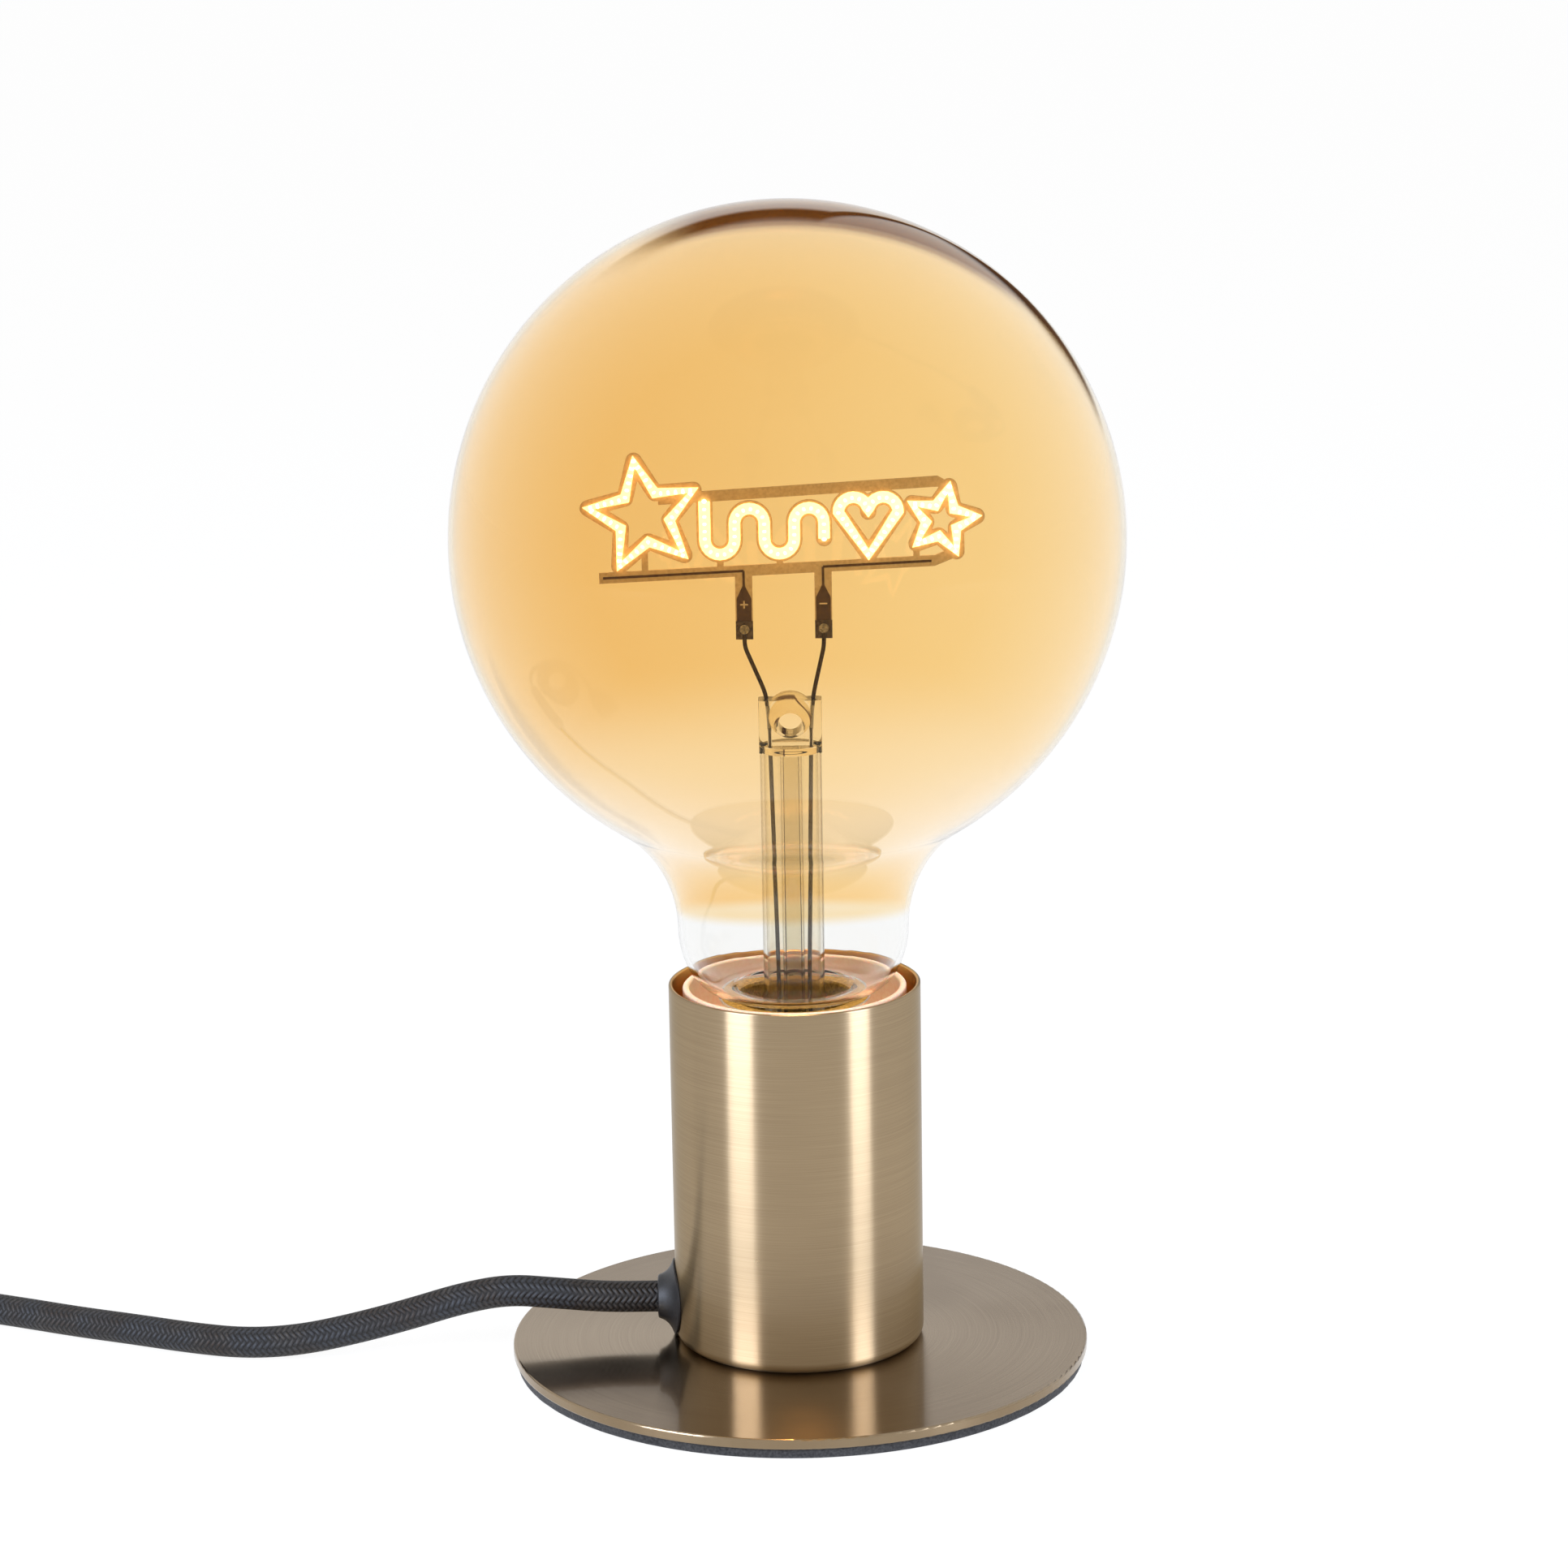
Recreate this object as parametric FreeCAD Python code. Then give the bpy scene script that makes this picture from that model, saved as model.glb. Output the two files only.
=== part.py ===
import FreeCAD, Part
import math
import os

V = FreeCAD.Vector
UP = V(0, 0, 1)
EAST = V(1, 0, 0)
NORTH = V(0, 1, 0)
FULL_TURN = 360.0

# Lengths are in millimetres, angles in degrees. The origin is the centre of the lamp's foot, on the table.
overrun = 1.0  # how far a cutting tool passes beyond what it cuts
level_room = 0.1  # how far an edge may lie from a height and still count as lying at it
route_arc_share = 0.45  # share of the shorter run that an arc between two runs of a route takes up

# Base: a fibre pad under a round plate
pad_thick = 1.9
pad_inset = 0.6
plate_radius = 55.25
plate_thick = 2.0
plate_edge_round = 0.4

# Cup
cup_wall = 0.8
cup_floor = 0.8
cup_height = 70.1
cup_rim_round = 0.3

# Cord, and the grommet that it leaves the cup through
cord_diameter = 6.0
cord_hole_lift = 7.6
grommet_neck_radius = 5.0
grommet_face_radius = 7.3
grommet_length = 3.3
grommet_lip_wall = 0.7
grommet_lip_width = 0.6
grommet_flange_radius = 6.5
grommet_flange_thick = 1.2
grommet_hollow_share = 0.34
cord_slack = 0.1

# Screws and nuts
screw_radius = 1.5
screw_slack = 0.1
sunk_head_radius = 2.8
sunk_head_height = 1.5
pan_head_radius = 2.7
pan_head_height = 1.8
nut_flats = 5.5
nut_height = 2.4
screw_end = 0.6

# Bracket and nipple that carry the lampholder in the cup
strap_width = 14.0
strap_thick = 1.5
strap_rise = 17.6
strap_half_span = 11.0
strap_foot = 9.0
nipple_radius = 5.0
nipple_bore = 3.9
nipple_length = 13.7
nipple_nut_flats = 14.0
nipple_nut_height = 3.0
nipple_spare = 0.5
washer_radius = 8.0
washer_thick = 0.8

# Lampholder
holder_room = 7.3
holder_gap = 1.85
holder_wall = 1.5
holder_floor = 2.0
holder_neck_radius = 8.2
holder_neck_height = 3.9
holder_band = 4.8
collar_height = 5.2
collar_slack = 0.3
skirt_wall = 1.3
skirt_below_rim = 0.5
skirt_rim_round = 0.6
ledge_thick = 2.0
ledge_below_top = 9.5
core_drop = 4.0
core_thick = 5.5
core_slack = 0.6
core_seat = 1.5

# Screw thread of lampholder and bulb cap
thread_pitch = 3.629
thread_turns = 4
thread_lead = 1.2
ridge_radius = 1.0
groove_slack = 0.34
thread_slack = 0.35
sleeve_wall = 1.5
sleeve_height = 26.5

# Contacts and terminals of the lampholder
strip_thick = 0.4
strip_width = 5.0
strip_rise = 2.3
strip_foot = 5.0
strip_reach = 11.0
strip_flat = 3.0
side_contact_width = 4.0
side_contact_height = 7.5
side_contact_gap = 1.2
terminal_spread = 10.0
terminal_depth = 4.0

# Bulb cap
cap_radius = 12.05
cap_wall = 0.4
cap_taper_height = 2.0
cap_taper = 1.25
cap_tube_height = 17.5
cap_step = 0.9
cap_step_height = 0.5
cap_rim_reach = 2.3
cap_flare_height = 2.2
rest_gap = 0.3
tip_radius = 4.8
tip_thick = 1.2
insulator_height = 3.4
insulator_foot_radius = 4.9
insulator_hole_radius = 0.6

# Glass of the bulb
globe_radius = 62.5
glass_wall = 0.9
neck_reach = 9.75
neck_level_lift = 13.72
neck_fillet = 24.0
bowl_side_radius = 17.04
bowl_corner_radius = 8.6
bowl_lift = 1.0
press_slack = 0.25
press_depth = 7.2
press_step = 0.4
press_step_height = 1.5
cement_drop = 0.1

# Stem inside the globe
stem_radius = 5.78
stem_wall = 0.7
stem_flare_height = 11.0
stem_flare_sag = 1.2
stem_to_filament = 11.7
pinch_width = 11.8
pinch_thick = 4.6
pinch_height = 10.0
pinch_round = 0.8
pinch_overlap = 1.5
head_radius = 4.58
head_drop = 3.1
bubble_radius = 2.3
bubble_drop = 4.2
exhaust_radius = 2.05
exhaust_wall = 0.6
exhaust_end_lift = 4.0

# Filament: rails and a garland of stars, waves and a heart on one flat carrier
filament_drop = 5.1
carrier_thick = 0.5
coat_thick = 0.85
stroke_width = 2.3
carrier_margin = 0.35
rail_height = 2.0
top_rail_left = -23.7
top_rail_right = 27.8
top_rail_level = 13.05
top_rail_slope = 2.6
top_rail_tip = 30.6
top_rail_tip_rise = -1.6
bottom_rail_left = -34.9
bottom_rail_right = 27.2
bottom_rail_level = -1.5
bottom_rail_slope = 2.4
bottom_rail_tip = 31.4
bottom_rail_tip_rise = 1.7
post_width = 1.2
star_x = -26.4
star_level = 10.0
star_reach = 10.4
star_turn = 9.0
star_inner_share = 0.46
star_points = 5
small_star_x = 28.6
small_star_level = 8.4
small_star_reach = 6.4
small_star_turn = -12.0
wave_start = -15.2
wave_level = 6.9
wave_radius = 2.75
wave_rise = 3.0
wave_stem_level = 12.6
wave_bumps = 4
heart_x = 15.0
heart_level = 10.2
heart_radius = 2.75
heart_drop = 8.0
tab_width = 3.2
tab_left = -8.2
tab_right = 6.5
tab_length = 13.0
tab_cap_height = 3.4
tab_cap_wall = 0.3
lug_radius = 0.9
lug_thick = 0.7
lead_drop = 1.6
lead_radius = 0.4
lead_spread = 4.4
lead_low_spread = 2.9
lead_bend_lift = 0.8
lead_bend_run = 3.6
lead_bend_shift = 0.45

# Driver board in the cap
board_slack = 2.25
board_thick = 1.2
board_lift = 6.0
chip_length = 6.0
chip_width = 4.0
chip_height = 2.0
chip_offset = 4.6
can_radius = 2.1
can_height = 4.4
can_offset = 5.6

# Cord grip inside the cup
clamp_x = -12.0
clamp_length = 6.0
clamp_half_width = 9.0
clamp_bar_thick = 2.2
clamp_screw_y = 6.0
clamp_gap = 0.4
sheath_end = -9.0
wire_radius = 1.1
wire_spread = 1.3
wire_bend = 5.0
wire_rise = 1.6

# Switch on the cord, in its own frame: length along the cord, then turned and placed
switch_x = -213.6
switch_y = 46.2
switch_heading = 155.3
switch_length = 58.0
switch_width = 24.0
switch_height = 15.0
switch_wall = 1.6
switch_corner = 6.0
switch_edge_round = 1.6
switch_cord_level = 4.8
sleeve_length = 8.0
sleeve_inside = 3.0
sleeve_big_radius = 4.3
sleeve_small_radius = 3.5
rocker_radius = 8.0
rocker_width = 8.6
rocker_tilt = 8.0
rocker_gap = 0.35
rocker_end_height = 3.9
rocker_dip = 0.9
rocker_low = 2.2
rocker_pin_radius = 1.2
rocker_pin_level = 11.6
pin_running_gap = 0.06
ear_half_length = 2.8
blade_half_length = 5.2
blade_thick = 0.6
blade_width = 3.6
stud_radius = 1.3
stud_offset = 4.2
stud_gap = 0.5
case_screw_offset = 15.0
case_screw_recess = 0.6
boss_radius = 3.6
boss_gap = 0.3

# Plug
plug_x = -208.0
plug_y = -68.0
plug_length = 36.0
plug_width = 35.4
plug_thick = 14.0
plug_round = 2.4
plug_tail_width = 15.0
plug_shoulder_share = 0.42
relief_length = 25.0
relief_big_radius = 4.6
relief_small_radius = 3.5
pin_radius = 2.0
pin_length = 19.0
pin_spacing = 18.6
pin_sleeve_length = 10.0
pin_shank_radius = 1.5
pin_root = 8.0

# Coil of the unseen cord, and its tie
coil_x = -257.6
coil_y = -8.0
coil_radius = 46.4
coil_step = 6.7
coil_turns = 6.125
coil_start = 180.0
climb_turns = 0.5
tie_angle = 78.0
tie_width = 12.0
tie_thick = 0.7
tie_gap = 0.1
tie_room = 1.0
coil_piece_turn = 0.25
coil_gap_points = 900

# Route of the cord: from grommet to switch, from switch to coil, and from coil to plug
run_route = [
    (-47.0, 0.1, 12.4),
    (-56.0, 0.2, 13.2),
    (-65.0, 0.2, 11.6),
    (-75.5, 0.0, 8.5),
    (-86.0, -0.1, 5.8),
    (-96.5, -0.2, 3.7),
    (-107.0, 0.1, 3.05),
    (-118.0, 3.6, 3.0),
    (-130.0, 8.7, 3.05),
    (-142.0, 13.6, 3.0),
    (-153.5, 18.9, 3.05),
    (-164.1, 23.5, 3.05),
]
link_route = [
    (-264.3, 66.9, 4.0),
    (-277.2, 65.7, 3.4),
    (-289.7, 59.3, 3.3),
    (-299.4, 47.9, 3.4),
    (-304.2, 32.6, 3.6),
]
tail_route = [
    (-264.8, -62.3, 8.4),
    (-252.6, -66.6, 6.6),
]
cord_approach = 7.5
cord_gland_run = 10.0
coil_link_run = 15.0
coil_tail_run = 11.0

sleeve_bore = cap_radius + thread_slack
sleeve_radius = sleeve_bore + sleeve_wall
holder_radius = sleeve_radius + holder_room
cup_radius = holder_radius + holder_gap + cup_wall
cap_rim_radius = cap_radius + cap_rim_reach
press_radius = cap_radius - cap_wall - press_slack
neck_radius = cap_radius + neck_reach
plate_top = pad_thick + plate_thick
floor_top = plate_top + cup_floor
cup_top = plate_top + cup_height
cup_inside = cup_radius - cup_wall
cord_radius = cord_diameter / 2
cord_level = plate_top + cord_hole_lift
grommet_end = -(cup_radius + grommet_length)
bracket_screw_y = strap_half_span + strap_foot / 2
strap_top = floor_top + strap_rise
holder_low = strap_top + washer_thick
holder_shoulder = holder_low + holder_neck_height + holder_radius - holder_neck_radius
band_top = holder_shoulder + holder_band
collar_top = band_top + collar_height
collar_radius = holder_radius - skirt_wall - collar_slack
skirt_top = cup_top - skirt_below_rim
core_low = holder_shoulder - core_drop
core_top = core_low + core_thick
core_radius = collar_radius - holder_wall - core_slack
sleeve_top = core_top + sleeve_height
strip_top = core_top + strip_rise
tip_low = strip_top + rest_gap
tip_top = tip_low + tip_thick
insulator_low = tip_top + rest_gap
cap_low = insulator_low + insulator_height
cap_tube_low = cap_low + cap_taper_height
cap_tube_top = cap_tube_low + cap_tube_height
cap_rim = cap_tube_top + cap_step_height + cap_flare_height
ridge_low = cap_tube_low + thread_lead
press_low = cap_rim - press_depth
neck_level = cap_rim + neck_level_lift
globe_level = neck_level + math.sqrt((globe_radius + neck_fillet) ** 2 - (neck_radius + neck_fillet) ** 2)
filament_level = globe_level - filament_drop
stem_low = press_low
pinch_top = filament_level - tab_length - stem_to_filament
pinch_low = pinch_top - pinch_height
stem_top = pinch_low + pinch_overlap
coat_out = carrier_thick / 2 + coat_thick
coil_low = cord_radius + tie_thick + tie_gap


def rod(radius, low, high, x=0, y=0):
    return Part.makeCylinder(radius, high - low, V(x, y, low))


def rod_along(radius, start, end):
    path = end - start
    return Part.makeCylinder(radius, path.Length, start, path)


def block(x_low, x_high, y_low, y_high, z_low, z_high):
    return Part.makeBox(x_high - x_low, y_high - y_low, z_high - z_low, V(x_low, y_low, z_low))


def turned_face(edges):
    return Part.Face(Part.Wire(edges)).revolve(V(0, 0, 0), UP, FULL_TURN)


# Straight edges through radius and height pairs
def profile(corners, closed=False):
    points = [V(radius, 0, height) for radius, height in corners]
    if closed:
        points.append(points[0])
    return [Part.makeLine(a, b) for a, b in zip(points, points[1:])]


def turned(corners):
    return turned_face(profile(corners, True))


def arc(start, middle, end):
    return Part.Arc(start, middle, end).toShape()


# Arc about a centre in the plane of radius and height, from one angle to another
def profile_arc(centre, radius, start, end):
    def at(angle):
        turn = math.radians(angle)
        return V(centre[0] + radius * math.cos(turn), 0, centre[1] + radius * math.sin(turn))
    return arc(at(start), at((start + end) / 2), at(end))


def hexagon(flats, low, high, x=0, y=0):
    sides = 6
    reach = flats / 2 / math.cos(math.pi / sides)
    turns = [2 * math.pi * k / sides for k in range(sides + 1)]
    corners = [V(x + reach * math.cos(turn), y + reach * math.sin(turn), low) for turn in turns]
    return Part.Face(Part.makePolygon(corners)).extrude(V(0, 0, high - low))


# Circular edges of a solid that lie at one height
def edges_at(shape, level):
    return [
        edge for edge in shape.Edges
        if edge.BoundBox.ZMin > level - level_room and edge.BoundBox.ZMax < level + level_room
    ]


# Route of straight runs joined by tangent arcs, as large as the runs allow
def rounded_route(points, name=""):
    edges = []
    radii = []
    here = points[0]
    for before, corner, after in zip(points, points[1:], points[2:]):
        way_in = corner - before
        way_out = after - corner
        reach = route_arc_share * min(way_in.Length, way_out.Length)
        way_in.normalize()
        way_out.normalize()
        half_turn = way_in.getAngle(way_out) / 2
        start = corner - way_in * reach
        end = corner + way_out * reach
        inward = (way_out - way_in).normalize()
        radius = reach / math.tan(half_turn)
        middle = corner + inward * (radius / math.cos(half_turn) - radius)
        edges.append(Part.makeLine(here, start))
        edges.append(arc(start, middle, end))
        radii.append(radius)
        here = end
    edges.append(Part.makeLine(here, points[-1]))
    if name:
        print(name, "radii", [round(radius, 1) for radius in radii])
    return Part.Wire(edges)


def swept(path, radius):
    edge = path.Edges[0]
    start = edge.valueAt(edge.FirstParameter)
    heading = edge.tangentAt(edge.FirstParameter)
    section = Part.Wire(Part.makeCircle(radius, start, heading))
    return path.makePipeShell([section], True, False)


def cord_tube(points, name):
    path = rounded_route(points, name)
    solid = swept(path, cord_radius)
    expected = path.Length * math.pi * cord_radius ** 2
    print(name, "length", round(path.Length, 1), "volume share", round(solid.Volume / expected, 5))
    return solid


def wire(points, radius):
    return swept(rounded_route(points), radius)


# Two arcs that leave one point along one direction and reach another along another
def biarc(start, way_out, end, way_in):
    chord = end - start
    both = way_out + way_in
    bend = 2 * (1 - way_out.dot(way_in))
    reach = (math.sqrt(chord.dot(both) ** 2 + bend * chord.dot(chord)) - chord.dot(both)) / bend
    joint = (start + way_out * reach + end - way_in * reach) / 2
    return [
        arc(start, arc_middle(start, way_out, joint), joint),
        arc(joint, arc_middle(end, way_in * -1, joint), end),
    ]


def arc_middle(start, heading, end):
    chord = end - start
    straight = V(chord).normalize()
    bulge = heading - straight * heading.dot(straight)
    angle = heading.getAngle(straight)
    return start + chord / 2 + bulge.normalize() * (chord.Length / 2 * math.tan(angle / 2))


def base_pad():
    return rod(plate_radius - pad_inset, 0, pad_thick)


def plate_screw_places():
    return [(0, side * bracket_screw_y) for side in (-1, 1)]


def clamp_screw_places():
    return [(clamp_x, side * clamp_screw_y) for side in (-1, 1)]


def base_plate():
    plate = rod(plate_radius, pad_thick, plate_top)
    plate = plate.makeFillet(plate_edge_round, edges_at(plate, pad_thick) + edges_at(plate, plate_top))
    for x, y in plate_screw_places():
        plate = plate.cut(rod(screw_radius + screw_slack, pad_thick - overrun, plate_top + overrun, x, y))
        plate = plate.cut(sunk_head(screw_slack, x, y))
    for x, y in clamp_screw_places():
        plate = plate.cut(rod(screw_radius, pad_thick - overrun, plate_top + overrun, x, y))
    return plate


def sunk_head(slack, x, y):
    place = V(x, y, pad_thick)
    return Part.makeCone(sunk_head_radius + slack, screw_radius + slack, sunk_head_height, place)


def plate_screws():
    top = floor_top + strap_thick + nut_height + screw_end
    screws = [
        rod(screw_radius, pad_thick, top, x, y).fuse(sunk_head(0, x, y))
        for x, y in plate_screw_places()
    ]
    return Part.makeCompound(screws)


def cup():
    shell = rod(cup_radius, plate_top, cup_top).cut(rod(cup_inside, floor_top, cup_top + overrun))
    rim_round = min(cup_rim_round, cup_wall / 2 - level_room)
    shell = shell.makeFillet(rim_round, edges_at(shell, cup_top))
    for x, y in plate_screw_places() + clamp_screw_places():
        shell = shell.cut(rod(screw_radius + screw_slack, plate_top - overrun, floor_top + overrun, x, y))
    start = V(grommet_end, 0, cord_level)
    return shell.cut(rod_along(grommet_neck_radius, start, V(0, 0, cord_level)))


def along_cord(shape):
    shape.rotate(V(0, 0, 0), NORTH, -FULL_TURN / 4)
    shape.translate(V(0, 0, cord_level))
    return shape


def grommet():
    lip = cord_radius + cord_slack + grommet_lip_wall
    drop = grommet_face_radius - lip
    outside = -grommet_end
    foot = math.sqrt(cup_radius ** 2 - grommet_face_radius ** 2)
    lip_low = outside - grommet_lip_width
    rise = lip_low - cup_radius
    middle = V(lip + drop * grommet_hollow_share, 0, cup_radius + rise * grommet_hollow_share)
    edges = profile([(0, foot), (grommet_face_radius, foot), (grommet_face_radius, cup_radius)])
    edges.append(arc(V(grommet_face_radius, 0, cup_radius), middle, V(lip, 0, lip_low)))
    edges += profile([(lip, lip_low), (lip, outside), (0, outside), (0, foot)])
    cone = along_cord(turned_face(edges)).cut(rod(cup_radius, plate_top, cup_top))
    flange_low = math.sqrt(cup_inside ** 2 - grommet_flange_radius ** 2) - grommet_flange_thick
    flange = along_cord(rod(grommet_flange_radius, flange_low, cup_inside))
    flange = flange.common(rod(cup_inside, floor_top, cup_top))
    neck = along_cord(rod(grommet_neck_radius, flange_low, lip_low))
    bore = along_cord(rod(cord_radius + cord_slack, 0, outside + overrun))
    return cone.fuse(flange).fuse(neck).removeSplitter().cut(bore)


def holder_bracket():
    half = strap_width / 2
    inner = strap_half_span - strap_thick
    top = block(-half, half, -strap_half_span, strap_half_span, strap_top - strap_thick, strap_top)
    shape = top
    for side in (-1, 1):
        leg_edges = sorted([side * inner, side * strap_half_span])
        foot_edges = sorted([side * inner, side * (strap_half_span + strap_foot)])
        shape = shape.fuse(block(-half, half, *leg_edges, floor_top, strap_top))
        shape = shape.fuse(block(-half, half, *foot_edges, floor_top, floor_top + strap_thick))
    shape = shape.removeSplitter()
    for x, y in plate_screw_places():
        shape = shape.cut(rod(screw_radius + screw_slack, floor_top - overrun, strap_top, x, y))
    shape = shape.cut(rod(nipple_radius, strap_top - strap_thick - overrun, strap_top + overrun))
    return shape


def bracket_nuts():
    low = floor_top + strap_thick
    nuts = []
    for x, y in plate_screw_places():
        nut = hexagon(nut_flats, low, low + nut_height, x, y)
        nuts.append(nut.cut(rod(screw_radius, low - overrun, low + nut_height + overrun, x, y)))
    return Part.makeCompound(nuts)


def nipple_low():
    return strap_top - strap_thick - nipple_nut_height - nipple_spare


def nipple_top():
    return nipple_low() + nipple_length


def holder_nipple():
    return rod(nipple_radius, nipple_low(), nipple_top()).cut(rod(nipple_bore, nipple_low(), nipple_top()))


def nipple_nut():
    top = strap_top - strap_thick
    nut = hexagon(nipple_nut_flats, top - nipple_nut_height, top)
    return nut.cut(rod(nipple_radius, top - nipple_nut_height, top))


def nipple_washer():
    washer = rod(washer_radius, strap_top, holder_low)
    return washer.cut(rod(nipple_radius, strap_top, holder_low))


def holder_dome():
    middle = (holder_neck_radius, holder_shoulder)
    outer_arc = holder_radius - holder_neck_radius
    inner_arc = outer_arc - holder_wall
    neck_top = holder_low + holder_neck_height
    seat = core_radius - core_seat
    lip = collar_radius - holder_wall
    seat_angle = -math.degrees(math.acos((seat - middle[0]) / inner_arc))
    seat_low = middle[1] + inner_arc * math.sin(math.radians(seat_angle))
    edges = profile([
        (nipple_radius, holder_low), (holder_neck_radius, holder_low), (holder_neck_radius, neck_top),
    ])
    edges.append(profile_arc(middle, outer_arc, -90, 0))
    edges += profile([
        (holder_radius, holder_shoulder), (holder_radius, band_top), (collar_radius, band_top),
        (collar_radius, collar_top), (lip, collar_top), (lip, core_low), (seat, core_low), (seat, seat_low),
    ])
    edges.append(profile_arc(middle, inner_arc, seat_angle, -90))
    neck_inside = holder_neck_radius - holder_wall
    edges += profile([
        (middle[0], middle[1] - inner_arc), (neck_inside, middle[1] - inner_arc),
        (neck_inside, holder_low + holder_floor), (nipple_radius, holder_low + holder_floor),
        (nipple_radius, holder_low),
    ])
    return turned_face(edges)


def terminal_places():
    return [(0, side * terminal_spread) for side in (-1, 1)]


def holder_core():
    core = rod(core_radius, core_low, core_top)
    for x, y in terminal_places():
        core = core.cut(rod(screw_radius, core_low - overrun, core_low + terminal_depth, x, y))
    return core


def terminal_screws():
    screws = []
    for x, y in terminal_places():
        head = rod(pan_head_radius, core_low - pan_head_height, core_low, x, y)
        screws.append(head.fuse(rod(screw_radius, core_low, core_low + terminal_depth, x, y)))
    return Part.makeCompound(screws)


def holder_skirt():
    inside = holder_radius - skirt_wall
    ledge_top = skirt_top - ledge_below_top
    ledge_low = ledge_top - ledge_thick
    hole = sleeve_radius + rest_gap
    skirt = turned([
        (inside, band_top), (holder_radius, band_top), (holder_radius, skirt_top), (inside, skirt_top),
        (inside, ledge_top), (hole, ledge_top), (hole, ledge_low), (inside, ledge_low),
    ])
    rim_round = min(skirt_rim_round, skirt_wall / 2 - level_room)
    return skirt.makeFillet(rim_round, edges_at(skirt, skirt_top))


# Helical rod of round section, for the ridge and the groove of the screw thread
def thread_rod(radius, low, turns):
    helix = Part.makeHelix(thread_pitch, thread_pitch * turns, cap_radius)
    path = Part.Wire(helix.Edges)
    edge = path.Edges[0]
    start = edge.valueAt(edge.FirstParameter)
    section = Part.Wire(Part.makeCircle(radius, start, edge.tangentAt(edge.FirstParameter)))
    solid = path.makePipeShell([section], True, True)
    solid.translate(V(0, 0, low))
    return solid


def thread_sleeve():
    sleeve = rod(sleeve_radius, core_top, sleeve_top).cut(rod(sleeve_bore, core_top, sleeve_top))
    groove_radius = ridge_radius + groove_slack
    turns_below = math.floor((ridge_low - groove_radius - core_top) / thread_pitch)
    groove_low = ridge_low - turns_below * thread_pitch
    turns = math.ceil((sleeve_top + groove_radius - groove_low) / thread_pitch)
    return sleeve.cut(thread_rod(groove_radius, groove_low, turns))


def centre_contact():
    foot = strip_foot - strip_reach
    path = [
        (-strip_reach, core_top), (foot, core_top),
        (-strip_flat, strip_top - strip_thick), (strip_flat, strip_top - strip_thick),
    ]
    upper = [(x, height + strip_thick) for x, height in reversed(path)]
    face = Part.Face(Part.Wire(profile(path + upper, True)))
    face.translate(V(0, -strip_width / 2, 0))
    return face.extrude(V(0, strip_width, 0))


def side_contact():
    half = side_contact_width / 2
    near = sleeve_radius
    upright = block(near, near + strip_thick, -half, half, core_top, core_top + side_contact_height)
    far = collar_radius - holder_wall - side_contact_gap
    foot = block(near, far, -half, half, core_top, core_top + strip_thick)
    return upright.fuse(foot).removeSplitter()


def cord_clamp():
    half = clamp_length / 2
    top = cord_level - clamp_gap
    base = block(clamp_x - half, clamp_x + half, -clamp_half_width, clamp_half_width, floor_top, top)
    base = base.cut(rod_along(cord_radius, V(grommet_end, 0, cord_level), V(0, 0, cord_level)))
    for x, y in clamp_screw_places():
        base = base.cut(rod(screw_radius + screw_slack, floor_top - overrun, top + overrun, x, y))
    return base


def clamp_top():
    return cord_level + cord_radius + clamp_bar_thick


def clamp_bar():
    half = clamp_length / 2
    low = cord_level + clamp_gap
    bar = block(clamp_x - half, clamp_x + half, -clamp_half_width, clamp_half_width, low, clamp_top())
    bar = bar.cut(rod_along(cord_radius, V(grommet_end, 0, cord_level), V(0, 0, cord_level)))
    for x, y in clamp_screw_places():
        bar = bar.cut(rod(screw_radius + screw_slack, low - overrun, clamp_top() + overrun, x, y))
    return bar


def clamp_screws():
    screws = []
    for x, y in clamp_screw_places():
        shank = rod(screw_radius, pad_thick, clamp_top(), x, y)
        screws.append(shank.fuse(rod(pan_head_radius, clamp_top(), clamp_top() + pan_head_height, x, y)))
    return Part.makeCompound(screws)


def inner_cord():
    return rod_along(cord_radius, V(grommet_end, 0, cord_level), V(sheath_end, 0, cord_level))


# One core, from the end of the sheath up through the nipple to its terminal
def supply_core(side):
    y = side * wire_spread
    end_level = core_low - pan_head_height / 2
    end_y = side * (terminal_spread - pan_head_radius - wire_radius)
    return wire([
        V(sheath_end, y, cord_level),
        V(-wire_bend, y, cord_level),
        V(0, y, cord_level + wire_bend),
        V(0, y, nipple_top()),
        V(0, end_y, end_level - wire_rise),
        V(0, end_y, end_level),
    ], wire_radius)


def live_core():
    return supply_core(-1)


def neutral_core():
    return supply_core(1)


def bulb_cap():
    thin = cap_radius - cap_wall
    taper_radius = cap_radius - cap_taper
    step = cap_radius + cap_step
    step_top = cap_tube_top + cap_step_height
    shell = turned([
        (taper_radius, cap_low), (cap_radius, cap_tube_low), (cap_radius, cap_tube_top),
        (step, step_top), (cap_rim_radius, cap_rim), (cap_rim_radius - cap_wall, cap_rim),
        (step - cap_wall, step_top + cap_wall), (thin, cap_tube_top + cap_wall), (thin, cap_tube_low),
        (taper_radius - cap_wall, cap_low),
    ])
    ridge = thread_rod(ridge_radius, ridge_low, thread_turns)
    return shell.fuse(ridge).cut(rod(thin, cap_tube_low, cap_tube_top + cap_wall))


def cap_insulator():
    foot = insulator_foot_radius
    hole = insulator_hole_radius
    edge = cap_radius - cap_taper - cap_wall / 2
    return turned([(hole, insulator_low), (foot, insulator_low), (edge, cap_low), (hole, cap_low)])


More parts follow.
